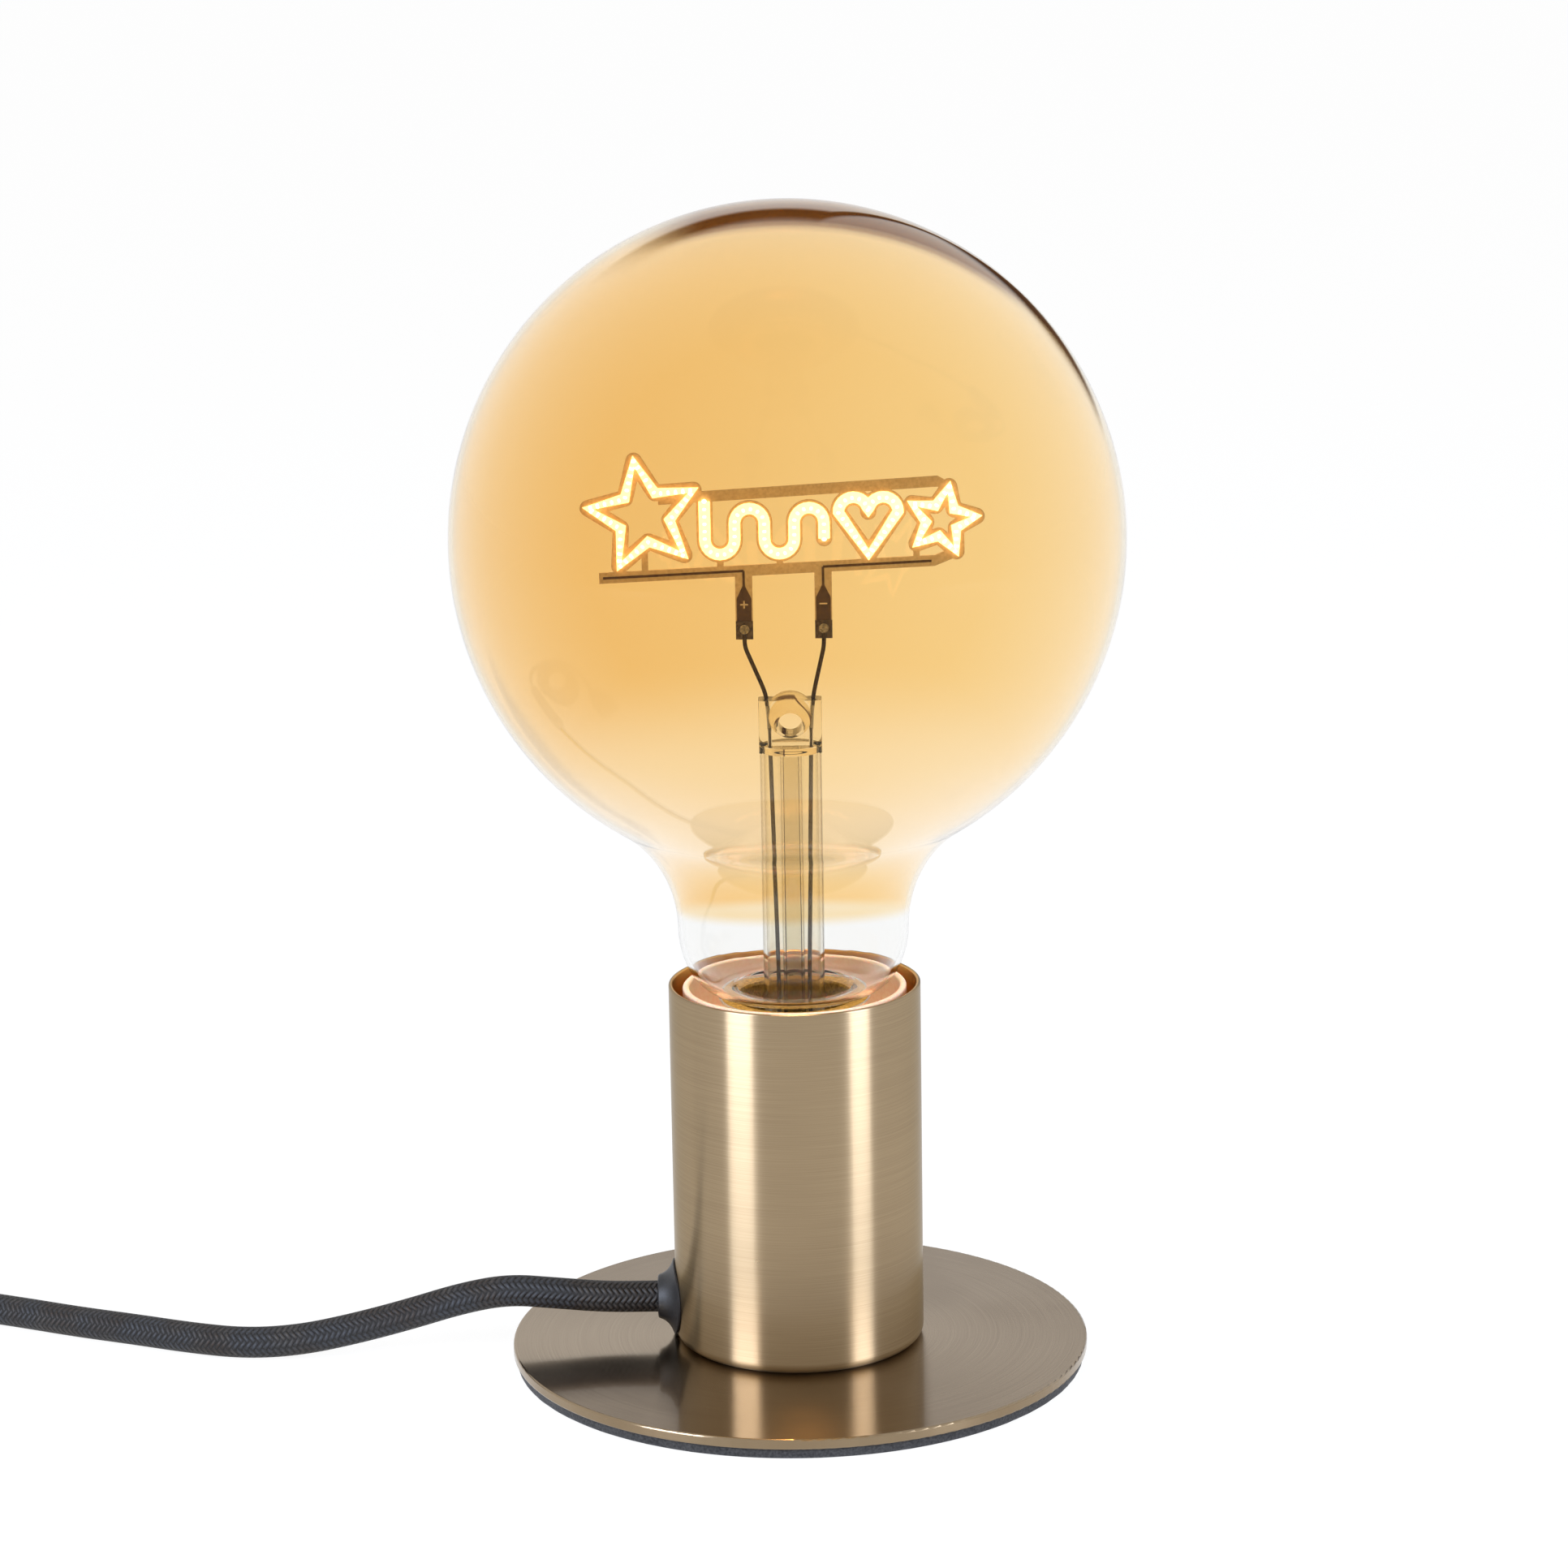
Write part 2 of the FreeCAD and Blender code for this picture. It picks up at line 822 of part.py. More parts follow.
def tip_contact():
    bow = (tip_radius ** 2 + tip_thick ** 2) / (2 * tip_thick)
    edge_angle = -math.degrees(math.acos(tip_radius / bow))
    edges = profile([(0, tip_low), (0, tip_top), (tip_radius, tip_top)])
    edges.append(profile_arc((0, tip_low + bow), bow, edge_angle, -90))
    return turned_face(edges)


def cap_cement():
    thin = cap_radius - cap_wall
    step = cap_radius + cap_step - cap_wall
    step_top = cap_tube_top + cap_step_height + cap_wall
    rim = cap_rim - cement_drop
    flare = (cap_rim_radius - cap_wall - step) / (cap_rim - step_top)
    rim_radius = cap_rim_radius - cap_wall - flare * cement_drop
    knee = cap_rim + bowl_lift - cement_drop - press_step_height
    inner_rim = press_radius + press_step * (rim - knee) / press_step_height
    low = press_low + cap_wall
    return turned([
        (press_radius, low), (thin, low), (thin, cap_tube_top + cap_wall), (step, step_top),
        (rim_radius, rim), (inner_rim, rim), (press_radius, knee),
    ])


# Outline of the glass from its top down to the ring in the cap, drawn in by the given wall
def glass_edges(wall):
    globe = globe_radius - wall
    fillet = neck_fillet + wall
    side = bowl_side_radius - wall
    corner = bowl_corner_radius - wall
    fillet_x = neck_radius + neck_fillet
    fillet_angle = math.degrees(math.atan2(globe_level - neck_level, -fillet_x))
    side_x = neck_radius - bowl_side_radius
    bottom = cap_rim + bowl_lift
    corner_z = bottom + bowl_corner_radius
    between = bowl_side_radius - bowl_corner_radius
    corner_x = side_x + math.sqrt(between ** 2 - (neck_level - corner_z) ** 2)
    meet_angle = math.degrees(math.atan2(corner_z - neck_level, corner_x - side_x))
    knee = bottom - cement_drop - press_step_height
    edges = [
        profile_arc((0, globe_level), globe, 90, fillet_angle - 180),
        profile_arc((fillet_x, neck_level), fillet, fillet_angle, 180),
        profile_arc((side_x, neck_level), side, 0, meet_angle),
        profile_arc((corner_x, corner_z), corner, meet_angle, -90),
    ]
    edges += profile([
        (corner_x, bottom + wall), (press_radius + press_step - wall, bottom - cement_drop + wall),
        (press_radius - wall, knee), (press_radius - wall, press_low),
    ])
    return edges


def bulb_glass():
    outer = glass_edges(0)
    inner = glass_edges(glass_wall)
    top = profile([(0, globe_level + globe_radius), (0, globe_level + globe_radius - glass_wall)])
    foot = profile([(press_radius, press_low), (press_radius - glass_wall, press_low)])
    return turned_face(Part.__sortEdges__(outer + inner + top + foot))


# Hollow arc from a radius at one height to a smaller one higher up
def flare_arc(radius_low, start, radius_top, end):
    middle = V((radius_top + radius_low) / 2 - stem_flare_sag, 0, (start + end) / 2 - stem_flare_sag)
    return arc(V(radius_low, 0, start), middle, V(radius_top, 0, end))


def glass_stem():
    ring = press_radius - glass_wall
    flare_top = stem_low + stem_flare_height
    bore = stem_radius - stem_wall
    shoulder = stem_low + stem_wall
    edges = profile([(ring - stem_wall, stem_low), (ring, stem_low), (ring, shoulder)])
    edges.append(flare_arc(ring, shoulder, stem_radius, flare_top))
    edges += profile([
        (stem_radius, flare_top), (stem_radius, stem_top), (0, stem_top), (0, pinch_low),
        (bore, pinch_low), (bore, flare_top),
    ])
    edges.append(flare_arc(ring - stem_wall, stem_low, bore, flare_top))
    stem = turned_face(Part.__sortEdges__(edges))
    half = pinch_width / 2
    thick = pinch_thick / 2
    pinch = block(-half, half, -thick, thick, pinch_low, pinch_top)
    upright = [edge for edge in pinch.Edges if edge.BoundBox.ZLength > pinch_height / 2]
    pinch = pinch.makeFillet(pinch_round, upright)
    head = Part.makeSphere(head_radius, V(0, 0, pinch_top - head_drop))
    stem = stem.fuse(pinch).fuse(head)
    bubble = V(0, stem_radius, pinch_top - bubble_drop)
    stem = stem.cut(rod_along(bubble_radius, bubble, bubble - NORTH * 2 * stem_radius))
    return stem.cut(lead_wires())


def exhaust_low():
    return board_top() + exhaust_end_lift


def exhaust_tube():
    tube = rod(exhaust_radius, exhaust_low(), pinch_low)
    return tube.cut(rod(exhaust_radius - exhaust_wall, exhaust_low() + exhaust_wall, pinch_low))


def board_top():
    return cap_low + board_lift + board_thick


# A lead runs from its lug on the filament down through the pinch and the stem to the driver board
def lead_wires():
    leads = []
    for side, tab in ((-1, tab_left), (1, tab_right)):
        x = side * lead_spread
        low_x = side * lead_low_spread
        leads.append(wire([
            V(tab, lug_face() - lead_radius, lug_level() - lug_radius),
            V(tab, lug_face() - lead_radius, tab_foot() - lead_drop),
            V(x, 0, pinch_top + lead_bend_lift),
            V(x - side * lead_bend_shift, 0, pinch_top - lead_bend_run),
            V(low_x, 0, stem_low + stem_flare_height),
            V(low_x, 0, board_top()),
        ], lead_radius))
    return Part.makeCompound(leads)


def cap_wire():
    start = V(0, 0, tip_top + rest_gap)
    end = V(0, 0, board_top() - board_thick)
    return rod_along(lead_radius, start, end)


# Flat pieces of the filament are drawn in x and height, then given their thickness along y
def plane_face(edges):
    return Part.Face(Part.Wire(edges))


def thickened(face, start, thick):
    layer = face.copy()
    layer.translate(V(0, start, 0))
    return layer.extrude(V(0, thick, 0))


def stroke(wire_path, width):
    half = width / 2
    if wire_path.isClosed():
        outer = Part.Face(wire_path.makeOffset2D(half, join=0))
        return outer.cut(Part.Face(wire_path.makeOffset2D(-half, join=0)))
    return Part.Face(wire_path.makeOffset2D(half, join=0, fill=False, openResult=False))


# Corners of a star go round from its top tip, tips first and notches between
def star_corner(x, level, reach, turn, k):
    angle = math.radians(FULL_TURN / 4 + turn + k * FULL_TURN / (2 * star_points))
    size = reach * star_inner_share if k % 2 else reach
    return V(x + size * math.cos(angle), 0, filament_level + level + size * math.sin(angle))


def star_wire(x, level, reach, turn):
    points = [star_corner(x, level, reach, turn, k) for k in range(2 * star_points)]
    return Part.makePolygon(points + points[:1])


# The wave comes down from the top rail and winds on in half circles with straight sides
def wave_wire():
    edges = []
    here = V(wave_start, 0, filament_level + wave_stem_level)
    for k in range(wave_bumps):
        way = 1 if k % 2 else -1
        level = filament_level + wave_level + way * wave_rise / 2
        start = V(here.x, 0, level)
        edges.append(Part.makeLine(here, start))
        here = start + V(2 * wave_radius, 0, 0)
        edges.append(arc(start, (start + here) / 2 + V(0, 0, way * wave_radius), here))
    edges.append(Part.makeLine(here, here - V(0, 0, wave_rise)))
    return Part.Wire(edges)


def heart_wire():
    level = filament_level + heart_level
    left = V(heart_x - 2 * heart_radius, 0, level)
    middle = V(heart_x, 0, level)
    right = V(heart_x + 2 * heart_radius, 0, level)
    foot = V(heart_x, 0, level - heart_drop)
    lift = V(0, 0, heart_radius)
    return Part.Wire([
        arc(left, (left + middle) / 2 + lift, middle),
        arc(middle, (middle + right) / 2 + lift, right),
        Part.makeLine(right, foot),
        Part.makeLine(foot, left),
    ])


def motif_wires():
    return [
        star_wire(star_x, star_level, star_reach, star_turn),
        wave_wire(),
        heart_wire(),
        star_wire(small_star_x, small_star_level, small_star_reach, small_star_turn),
    ]


def rail_face(left, right, level, rise):
    half = rail_height / 2
    low = filament_level + level
    corners = [(left, low - half), (right, low + rise - half), (right, low + rise + half), (left, low + half)]
    return plane_face(profile(corners, True))


def flat_box(x_low, x_high, low, high):
    return plane_face(profile([(x_low, low), (x_high, low), (x_high, high), (x_low, high)], True))


def bottom_rail_at(x):
    along = (x - bottom_rail_left) / (bottom_rail_right - bottom_rail_left)
    return filament_level + bottom_rail_level + bottom_rail_slope * along


def tab_foot():
    return filament_level - tab_length


def filament_carrier():
    faces = [stroke(path, stroke_width + 2 * carrier_margin) for path in motif_wires()]
    faces.append(rail_face(top_rail_left, top_rail_right, top_rail_level, top_rail_slope))
    faces.append(rail_face(bottom_rail_left, bottom_rail_right, bottom_rail_level, bottom_rail_slope))
    top_end = top_rail_level + top_rail_slope
    bottom_end = bottom_rail_level + bottom_rail_slope
    faces.append(rail_face(top_rail_right, top_rail_tip, top_end, top_rail_tip_rise))
    faces.append(rail_face(bottom_rail_right, bottom_rail_tip, bottom_end, bottom_rail_tip_rise))
    half = post_width / 2
    wave_length = 4 * wave_radius
    wave_foot = filament_level + wave_level - wave_rise / 2 - wave_radius
    tip = star_corner(small_star_x, small_star_level, small_star_reach, small_star_turn, star_points - 1)
    posts = [
        (star_x, filament_level + star_level - star_reach * star_inner_share),
        (wave_start + wave_radius, wave_foot),
        (wave_start + wave_radius + wave_length, wave_foot),
        (heart_x, filament_level + heart_level - heart_drop),
        (tip.x, tip.z),
    ]
    for x, level in posts:
        faces.append(flat_box(x - half, x + half, bottom_rail_at(x), level))
    for x in (tab_left, tab_right):
        half_tab = tab_width / 2
        faces.append(flat_box(x - half_tab, x + half_tab, tab_foot(), bottom_rail_at(x)))
    layers = [thickened(face, -carrier_thick / 2, carrier_thick) for face in faces]
    return layers[0].multiFuse(layers[1:]).removeSplitter()


def led_strokes():
    solids = []
    for path in motif_wires():
        face = stroke(path, stroke_width)
        for start in (-coat_out, carrier_thick / 2):
            solids += thickened(face, start, coat_thick).Solids
    return Part.makeCompound(solids)


# Metal caps folded round the foot of each tab
def filament_tabs():
    caps = []
    low = tab_foot() - tab_cap_wall
    for x in (tab_left, tab_right):
        half = tab_width / 2
        thick = carrier_thick / 2
        high = low + tab_cap_height
        outer = block(x - half, x + half, -thick - tab_cap_wall, thick + tab_cap_wall, low, high)
        caps.append(outer.cut(block(x - half, x + half, -thick, thick, tab_foot(), high)))
    return Part.makeCompound(caps)


def lug_face():
    return -carrier_thick / 2 - tab_cap_wall


def lug_level():
    return tab_foot() + tab_cap_height / 2


def solder_lugs():
    lugs = []
    for x in (tab_left, tab_right):
        start = V(x, lug_face(), lug_level())
        lugs.append(rod_along(lug_radius, start, start - V(0, lug_thick, 0)))
    return Part.makeCompound(lugs)


def driver_board():
    radius = cap_radius - cap_wall - board_slack
    return rod(radius, board_top() - board_thick, board_top())


def driver_parts():
    top = board_top()
    low = top - board_thick
    half = chip_length / 2
    chip = block(-half, half, chip_offset, chip_offset + chip_width, top, top + chip_height)
    can = rod(can_radius, top, top + can_height, 0, -can_offset)
    side = chip_width / 2
    under = block(side, side + chip_length, -side, side, low - chip_height, low)
    return Part.makeCompound([chip, can, under])


def in_switch(shape):
    shape.rotate(V(0, 0, 0), UP, switch_heading)
    shape.translate(V(switch_x, switch_y, 0))
    return shape


def case_block(inset, low, high):
    half = switch_length / 2 - inset
    side = switch_width / 2 - inset
    body = block(-half, half, -side, side, low, high)
    upright = [edge for edge in body.Edges if edge.BoundBox.ZLength > (high - low) / 2]
    return body.makeFillet(switch_corner - inset, upright)


def sleeve_holes(shape):
    half = switch_length / 2
    for side in (-1, 1):
        inner = V(side * (half - sleeve_inside), 0, switch_cord_level)
        outer = V(side * (half + overrun), 0, switch_cord_level)
        shape = shape.cut(rod_along(sleeve_small_radius, inner, outer))
    return shape


def switch_base():
    shell = case_block(0, 0, switch_cord_level)
    shell = shell.makeFillet(switch_edge_round / 2, edges_at(shell, 0))
    shell = shell.cut(case_block(switch_wall, switch_wall, switch_cord_level + overrun))
    shell = sleeve_holes(shell)
    for x, y in boss_places():
        shell = shell.fuse(rod(boss_radius, switch_wall / 2, switch_cord_level, x, y))
        shell = shell.cut(rod(screw_radius + screw_slack, -overrun, switch_cord_level + overrun, x, y))
        shell = shell.cut(rod(pan_head_radius, -overrun, case_screw_recess + pan_head_height, x, y))
    return in_switch(shell)


# Screw bosses stand beside the cord, one towards each end
def boss_places():
    y = switch_width / 2 - switch_wall - boss_radius - boss_gap
    return [(side * case_screw_offset, side * y) for side in (-1, 1)]


# Rod along the axis that the rocker tilts about
def pin_rod(radius, half):
    return rod_along(radius, V(0, -half, rocker_pin_level), V(0, half, rocker_pin_level))


def rocker_window():
    return pin_rod(rocker_radius + rocker_gap, rocker_width / 2 + rocker_gap)


def switch_cover():
    shell = case_block(0, switch_cord_level, switch_height)
    shell = shell.makeFillet(switch_edge_round, edges_at(shell, switch_height))
    shell = shell.cut(case_block(switch_wall, switch_cord_level - overrun, switch_height - switch_wall))
    shell = sleeve_holes(shell)
    for x, y in boss_places():
        boss = rod(boss_radius, switch_cord_level, switch_height - switch_wall, x, y)
        bore = rod(screw_radius, switch_cord_level - overrun, switch_height - switch_wall, x, y)
        shell = shell.fuse(boss).cut(bore)
    ear_inner = rocker_width / 2 + rocker_gap
    ear_outer = ear_inner + switch_wall
    for side in (-1, 1):
        y_low, y_high = sorted([side * ear_inner, side * ear_outer])
        ear_low = rocker_pin_level - ear_half_length
        ear = block(-ear_half_length, ear_half_length, y_low, y_high, ear_low, switch_height - switch_wall)
        shell = shell.fuse(ear)
    shell = shell.cut(rocker_window()).cut(pin_rod(rocker_pin_radius, ear_outer))
    return in_switch(shell)


def switch_screws():
    screws = []
    top = switch_height - switch_wall - screw_end
    seat = case_screw_recess + pan_head_height
    for x, y in boss_places():
        head = rod(pan_head_radius, case_screw_recess, seat, x, y)
        screws.append(head.fuse(rod(screw_radius, seat, top, x, y)))
    return in_switch(Part.makeCompound(screws))


def rocker_pin():
    half = rocker_width / 2 + rocker_gap + switch_wall
    return in_switch(pin_rod(rocker_pin_radius, half))


def tilted(shape):
    shape.rotate(V(0, 0, rocker_pin_level), NORTH, -rocker_tilt)
    return in_switch(shape)


def switch_rocker():
    edge = math.sqrt(rocker_radius ** 2 - rocker_end_height ** 2)
    low_edge = math.sqrt(rocker_radius ** 2 - rocker_low ** 2)
    top = rocker_pin_level + rocker_end_height
    low = rocker_pin_level - rocker_low
    side = V(rocker_radius, 0, rocker_pin_level)
    other_side = V(-rocker_radius, 0, rocker_pin_level)
    edges = profile([(-edge, top), (0, top - rocker_dip), (edge, top)])
    edges.append(arc(V(edge, 0, top), side, V(low_edge, 0, low)))
    edges += profile([(low_edge, low), (-low_edge, low)])
    edges.append(arc(V(-low_edge, 0, low), other_side, V(-edge, 0, top)))
    face = Part.Face(Part.Wire(edges))
    face.translate(V(0, -rocker_width / 2, 0))
    body = face.extrude(V(0, rocker_width, 0))
    return tilted(body.cut(pin_rod(rocker_pin_radius + pin_running_gap, rocker_width)))


def rocker_blade():
    top = rocker_pin_level - rocker_low
    half = blade_width / 2
    return tilted(block(-blade_half_length, blade_half_length, -half, half, top - blade_thick, top))


# Fixed studs stand beside the cord's cores and end just below the tilted blade
def switch_contacts():
    drop = math.sin(math.radians(rocker_tilt)) * (stud_offset + stud_radius)
    top = rocker_pin_level - rocker_low - blade_thick - drop - stud_gap
    studs = [rod(stud_radius, switch_wall, top, side * stud_offset, 0) for side in (-1, 1)]
    return in_switch(Part.makeCompound(studs))


def switch_sleeves():
    half = switch_length / 2
    sleeves = []
    for side in (-1, 1):
        inside = V(side * (half - sleeve_inside), 0, switch_cord_level)
        face = V(side * half, 0, switch_cord_level)
        way = V(side, 0, 0)
        plug = rod_along(sleeve_small_radius, inside, face)
        cone = Part.makeCone(sleeve_big_radius, sleeve_small_radius, sleeve_length, face, way)
        bore = rod_along(cord_radius, inside, face + way * sleeve_length)
        sleeves.append(plug.fuse(cone).cut(bore))
    return in_switch(Part.makeCompound(sleeves))


# Ends of the cord inside the switch: a stub of sheath at each end, and their cores
def switch_leads():
    half = switch_length / 2
    level = switch_cord_level
    solids = []
    stub_end = half - sleeve_inside * 2
    for side in (-1, 1):
        outer = V(side * (half + sleeve_length), 0, level)
        solids.append(rod_along(cord_radius, outer, V(side * stub_end, 0, level)))
        core_end = stud_offset + stud_radius
        solids.append(rod_along(wire_radius, V(side * stub_end, 0, level), V(side * core_end, 0, level)))
    through = V(stub_end, wire_radius * 2, level - wire_radius / 2)
    solids.append(rod_along(wire_radius / 2, through, V(-stub_end, through.y, through.z)))
    return in_switch(Part.makeCompound(solids))


def plug_body():
    half = plug_width / 2
    tail = plug_tail_width / 2
    shoulder = plug_x + plug_length * plug_shoulder_share
    end = plug_x + plug_length
    corners = [
        (plug_x, -tail), (shoulder, -half), (end, -half), (end, half), (shoulder, half), (plug_x, tail),
    ]
    points = [V(x, plug_y + y, 0) for x, y in corners]
    body = Part.Face(Part.makePolygon(points + points[:1])).extrude(V(0, 0, plug_thick))
    upright = [edge for edge in body.Edges if edge.BoundBox.ZLength > plug_thick / 2]
    body = body.makeFillet(plug_round, upright)
    body = body.makeFillet(plug_round, edges_at(body, 0) + edges_at(body, plug_thick))
    for side in (-1, 1):
        y = plug_y + side * pin_spacing / 2
        start = V(end - pin_root, y, plug_axis())
        body = body.cut(rod_along(pin_shank_radius, start, V(end + overrun, y, plug_axis())))
    return body


def plug_axis():
    return plug_thick / 2


def plug_relief():
    start = V(plug_x - relief_length, plug_y, plug_axis())
    return Part.makeCone(relief_small_radius, relief_big_radius, relief_length, start, EAST)


def plug_pins():
    end = plug_x + plug_length
    pins = []
    for side in (-1, 1):
        y = plug_y + side * pin_spacing / 2
        root = V(end - pin_root, y, plug_axis())
        neck = V(end + pin_sleeve_length, y, plug_axis())
        tip = V(end + pin_length, y, plug_axis())
        pins.append(rod_along(pin_shank_radius, root, neck).fuse(rod_along(pin_radius, neck, tip)))
    return Part.makeCompound(pins)


def pin_sleeves():
    end = plug_x + plug_length
    sleeves = []
    for side in (-1, 1):
        y = plug_y + side * pin_spacing / 2
        start = V(end, y, plug_axis())
        stop = V(end + pin_sleeve_length, y, plug_axis())
        bore = rod_along(pin_shank_radius, start, stop)
        sleeves.append(rod_along(pin_radius, start, stop).cut(bore))
    return Part.makeCompound(sleeves)


def switch_way():
    turn = math.radians(switch_heading)
    return V(math.cos(turn), math.sin(turn), 0)


def switch_door(side):
    reach = switch_length / 2 + sleeve_length
    return V(switch_x, switch_y, switch_cord_level) + switch_way() * side * reach


def cord_run():
    door = switch_door(-1)
    gland = V(grommet_end, 0, cord_level)
    points = [gland, gland - EAST * cord_gland_run] + [V(*place) for place in run_route]
    return cord_tube(points + [door - switch_way() * cord_approach, door], "cord_run")


def cord_link():
    door = switch_door(1)
    start, heading = coil_at(0)
    points = [door, door + switch_way() * cord_approach] + [V(*place) for place in link_route]
    end = start - heading * cord_diameter
    return cord_tube(points + [end - heading * coil_link_run, end], "cord_link")


def cord_tail():
    end, heading = coil_at(coil_turns)
    start = end + heading * cord_diameter
    points = [start, start + heading * coil_tail_run] + [V(*place) for place in tail_route]
    door = V(plug_x - relief_length, plug_y, plug_axis())
    return cord_tube(points + [door - EAST * cord_approach, door], "cord_tail")


# Place and direction of the coil's centre line after a number of turns: it spirals in on the lower layer,
# climbs where it is narrowest, and spirals out again on the upper layer
def coil_at(turns):
    climb_from = (coil_turns - climb_turns) / 2
    past = turns - climb_from
    climbed = min(max(past / climb_turns, 0), 1)
    if climbed <= 0:
        radius = coil_radius - coil_step * turns
        radius_rate = -coil_step
    elif climbed >= 1:
        radius = coil_radius - coil_step * (coil_turns - turns)
        radius_rate = coil_step
    else:
        radius = coil_radius - coil_step * (climb_from + past - past ** 2 / climb_turns)
        radius_rate = coil_step * (2 * climbed - 1)
    level = coil_low + coil_step * climbed ** 2 * (3 - 2 * climbed)
    level_rate = coil_step * 6 * climbed * (1 - climbed) / climb_turns
    angle = math.radians(coil_start + FULL_TURN * turns)
    place = V(coil_x + radius * math.cos(angle), coil_y + radius * math.sin(angle), level)
    spin = 2 * math.pi * radius
    heading = V(
        radius_rate * math.cos(angle) - spin * math.sin(angle),
        radius_rate * math.sin(angle) + spin * math.cos(angle),
        level_rate,
    )
    return place, heading.normalize()


def cord_coil():
    pieces = math.ceil(coil_turns / coil_piece_turn)
    stops = [coil_at(coil_turns * k / pieces) for k in range(pieces + 1)]
    first, first_way = stops[0]
    last, last_way = stops[-1]
    edges = [Part.makeLine(first - first_way * cord_diameter, first)]
    for (start, way_out), (end, way_in) in zip(stops, stops[1:]):
        edges += biarc(start, way_out, end, way_in)
    edges.append(Part.makeLine(last, last + last_way * cord_diameter))
    path = Part.Wire(edges)
    solid = swept(path, cord_radius)
    expected = path.Length * math.pi * cord_radius ** 2
    print("cord_coil length", round(path.Length, 1), "volume share", round(solid.Volume / expected, 5))
    print("cord_coil least gap to itself", round(coil_gap(path), 3))
    return solid


# Least distance between points of the path that lie more than half a turn apart, less the cord's diameter
def coil_gap(path):
    points = path.discretize(Number=coil_gap_points)
    step = path.Length / (coil_gap_points - 1)
    apart = int(math.pi * (coil_radius - coil_step * coil_turns / 2) / step)
    least = min(
        points[i].distanceToPoint(points[j])
        for i in range(coil_gap_points)
        for j in range(i + apart, coil_gap_points)
    )
    return least - cord_diameter


# Strap round the turns of the coil
def coil_tie():
    inner = coil_radius - coil_step * (coil_turns - climb_turns / 2) / 2 - cord_radius - tie_room
    outer = coil_radius + cord_radius + tie_room / 2
    high = coil_low + coil_step + cord_radius + tie_gap
    half = tie_width / 2
    strap = block(inner - tie_thick, outer + tie_thick, -half, half, 0, high + tie_thick)
    strap = strap.cut(block(inner, outer, -half, half, tie_thick, high))
    strap.rotate(V(0, 0, 0), UP, tie_angle)
    strap.translate(V(coil_x, coil_y, 0))
    return strap


nodes = {
    "base_pad": base_pad,
    "base_plate": base_plate,
    "plate_screws": plate_screws,
    "cup": cup,
    "grommet": grommet,
    "holder_bracket": holder_bracket,
    "bracket_nuts": bracket_nuts,
    "holder_nipple": holder_nipple,
    "nipple_nut": nipple_nut,
    "nipple_washer": nipple_washer,
    "holder_dome": holder_dome,
    "holder_core": holder_core,
    "holder_skirt": holder_skirt,
    "thread_sleeve": thread_sleeve,
    "centre_contact": centre_contact,
    "side_contact": side_contact,
    "terminal_screws": terminal_screws,
    "cord_clamp": cord_clamp,
    "clamp_bar": clamp_bar,
    "clamp_screws": clamp_screws,
    "inner_cord": inner_cord,
    "live_core": live_core,
    "neutral_core": neutral_core,
    "tip_contact": tip_contact,
    "bulb_glass": bulb_glass,
    "bulb_cap": bulb_cap,
    "cap_cement": cap_cement,
    "cap_insulator": cap_insulator,
    "glass_stem": glass_stem,
    "exhaust_tube": exhaust_tube,
    "lead_wires": lead_wires,
    "filament_carrier": filament_carrier,
    "filament_tabs": filament_tabs,
    "solder_lugs": solder_lugs,
    "led_strokes": led_strokes,
    "driver_board": driver_board,
    "driver_parts": driver_parts,
    "cap_wire": cap_wire,
    "cord_run": cord_run,
    "cord_link": cord_link,
    "cord_coil": cord_coil,
    "cord_tail": cord_tail,
    "coil_tie": coil_tie,
    "switch_base": switch_base,
    "switch_cover": switch_cover,
    "switch_rocker": switch_rocker,
    "rocker_blade": rocker_blade,
    "rocker_pin": rocker_pin,
    "switch_contacts": switch_contacts,
    "switch_screws": switch_screws,
    "switch_sleeves": switch_sleeves,
    "switch_leads": switch_leads,
    "plug_body": plug_body,
    "plug_relief": plug_relief,
    "plug_pins": plug_pins,
    "pin_sleeves": pin_sleeves,
}

os.makedirs("parts", exist_ok=True)
for name, make in nodes.items():
    shape = make()
    box = shape.optimalBoundingBox(False)
    print(name, "solids", len(shape.Solids), "valid", shape.isValid(), "volume", round(shape.Volume, 1),
          "height", round(box.ZMin, 2), round(box.ZMax, 2))
    shape.exportStep("parts/" + name + ".step")
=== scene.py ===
import math

import bmesh
import bpy
from mathutils import Matrix, Vector, noise


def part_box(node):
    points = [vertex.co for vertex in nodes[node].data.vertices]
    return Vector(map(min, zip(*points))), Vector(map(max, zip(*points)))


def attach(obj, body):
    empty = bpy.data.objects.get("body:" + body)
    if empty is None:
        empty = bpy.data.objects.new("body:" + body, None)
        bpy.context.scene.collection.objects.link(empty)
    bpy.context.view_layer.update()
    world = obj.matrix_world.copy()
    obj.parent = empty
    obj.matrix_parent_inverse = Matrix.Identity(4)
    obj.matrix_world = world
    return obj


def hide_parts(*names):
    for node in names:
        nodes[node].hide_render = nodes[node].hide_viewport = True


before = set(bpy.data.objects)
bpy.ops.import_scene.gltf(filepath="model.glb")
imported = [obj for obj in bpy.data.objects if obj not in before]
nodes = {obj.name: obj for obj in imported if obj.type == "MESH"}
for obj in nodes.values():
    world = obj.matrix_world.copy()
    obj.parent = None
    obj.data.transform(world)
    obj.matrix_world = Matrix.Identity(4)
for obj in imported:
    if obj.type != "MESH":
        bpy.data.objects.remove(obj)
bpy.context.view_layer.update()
scene = bpy.context.scene
mm = 0.001  # sizes are in mm unless a note says metres
print("frame loaded:", len(nodes), "nodes")


